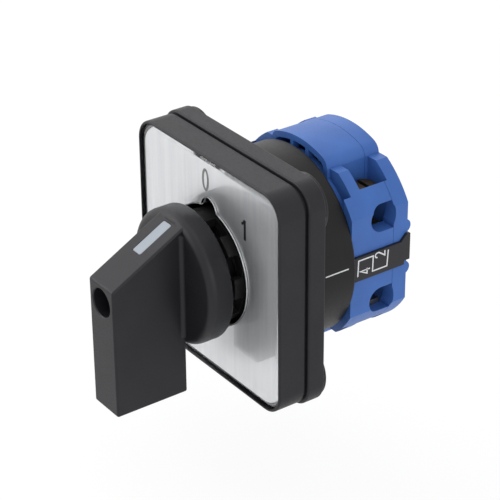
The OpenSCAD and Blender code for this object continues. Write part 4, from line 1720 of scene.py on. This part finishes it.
@dataclass
class Studio:
    """The camera, the lamps and the pale floor."""

    azimuth: float = 54.5
    elevation: float = 28.94
    roll: float = -0.49
    lens: float = 141.1
    distance: float = 385.4
    target: tuple[float, float, float] = (0.56, -1.2, 0.45)
    floor_drop: float = 26.0
    floor_reach_m: float = 6.0
    floor_glow: float = 0.82

    def build(self) -> None:
        """Sets up everything round the switch."""
        self.camera()
        self.floor()
        self.lamps()
        self.world()
        bpy.context.scene.view_settings.view_transform = "Standard"

    def camera(self) -> None:
        """Adds the camera and makes it the scene's own."""
        a, e, r = (math.radians(v) for v in (self.azimuth, self.elevation, self.roll))
        back = Vector((math.sin(a) * math.cos(e), -math.cos(a) * math.cos(e), math.sin(e)))
        flat = Vector((math.cos(a), math.sin(a), 0))
        rise = back.cross(flat)
        right = math.cos(r) * flat + math.sin(r) * rise
        up = -math.sin(r) * flat + math.cos(r) * rise
        data = bpy.data.cameras.new("camera")
        data.lens = self.lens
        data.sensor_width = 36.0
        data.clip_start = 0.01
        data.clip_end = 20.0
        eye = bpy.data.objects.new("camera", data)
        place = Matrix((right, up, back)).transposed().to_4x4()
        place.translation = (Vector(self.target) + back * self.distance) * MM
        eye.matrix_world = place
        bpy.context.scene.collection.objects.link(eye)
        bpy.context.scene.camera = eye

    def seen_directly(self, tree: bpy.types.NodeTree) -> bpy.types.NodeSocket:
        """Tells rays from the camera, from gloss and through glass from all others.

        Args:
            tree: The tree of the floor or the surround.

        Returns:
            1 for such rays, else 0.
        """
        path = add_node(tree, "ShaderNodeLightPath").outputs
        either = {"operation": "MAXIMUM"}
        pair = {0: path["Is Camera Ray"], 1: path["Is Glossy Ray"]}
        first = add_node(tree, "ShaderNodeMath", either, pair)
        pair = {0: first.outputs[0], 1: path["Is Transmission Ray"]}
        return add_node(tree, "ShaderNodeMath", either, pair).outputs[0]

    def floor(self) -> None:
        """Adds the floor below the switch, pale, with a faint shadow."""
        lo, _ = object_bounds()
        level = lo[2] - self.floor_drop * MM
        reach = self.floor_reach_m
        corners = [(-reach, -reach), (reach, -reach), (reach, reach), (-reach, reach)]
        mesh = bpy.data.meshes.new("floor")
        mesh.from_pydata([(x, y, level) for x, y in corners], [], [(0, 1, 2, 3)])
        floor = bpy.data.objects.new("floor", mesh)
        bpy.context.scene.collection.objects.link(floor)
        material, tree, shader = new_material("floor_matt_white")
        shader.inputs["Base Color"].default_value = (0.92, 0.92, 0.92, 1)
        shader.inputs["Roughness"].default_value = 0.9
        shader.inputs["Specular IOR Level"].default_value = 0.0
        glow = add_node(tree, "ShaderNodeEmission", {}, {"Color": (1, 1, 1, 1), "Strength": 1.0})
        factors = {0: self.seen_directly(tree), 1: self.floor_glow}
        share = add_node(tree, "ShaderNodeMath", {"operation": "MULTIPLY"}, factors)
        values = {0: share.outputs[0], 1: shader.outputs[0], 2: glow.outputs[0]}
        mix = add_node(tree, "ShaderNodeMixShader", {}, values)
        tree.links.new(mix.outputs[0], tree.nodes["Material Output"].inputs["Surface"])
        mesh.materials.append(material)
        floor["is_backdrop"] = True

    def lamps(self) -> None:
        """Adds five large soft lamps, the strongest of them at the front left."""
        for name, place, size, power in (
            ("lamp_above", (0.1, 0.0, 1.0), 0.9, 1.8),
            ("lamp_front_left", (-0.75, -0.75, 0.45), 0.8, 5.5),
            ("lamp_left", (-0.9, -0.1, 0.75), 0.8, 2.6),
            ("lamp_back_left", (-0.75, 0.6, 0.5), 0.8, 1.0),
            ("lamp_right", (1.0, -0.2, 0.3), 0.8, 2.2),
        ):
            data = bpy.data.lights.new(name, "AREA")
            data.shape = "DISK"
            data.size = size
            data.energy = power
            lamp = bpy.data.objects.new(name, data)
            lamp.location = place
            lamp.rotation_euler = (Vector(place) * -1).to_track_quat("-Z", "Y").to_euler()
            bpy.context.scene.collection.objects.link(lamp)

    def world(self) -> None:
        """Sets a plain pale surround that also shows in gloss and glass."""
        world = bpy.data.worlds.new("studio")
        bpy.context.scene.world = world
        world.use_nodes = True
        tree = world.node_tree
        ground = tree.nodes["Background"]
        ground.inputs["Color"].default_value = (1, 1, 1, 1)
        values = {"Value": self.seen_directly(tree), "To Min": 0.75, "To Max": 1.0}
        level = add_node(tree, "ShaderNodeMapRange", {}, values)
        tree.links.new(level.outputs["Result"], ground.inputs["Strength"])


def main() -> None:
    """Builds the looks of the whole switch."""
    logging.basicConfig(level=logging.INFO, format="%(name)s %(message)s")
    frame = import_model()
    finishes = Finishes()
    for assembly in (Knob, Shaft, FrontPlate, Housing, ContactBlock, MarkingStrips):
        LOG.info("building %s", assembly.__name__)
        assembly(finishes).build()
    HiddenParts(finishes).build(frame["nodes"])
    Studio().build()


if __name__ == "__main__":
    main()
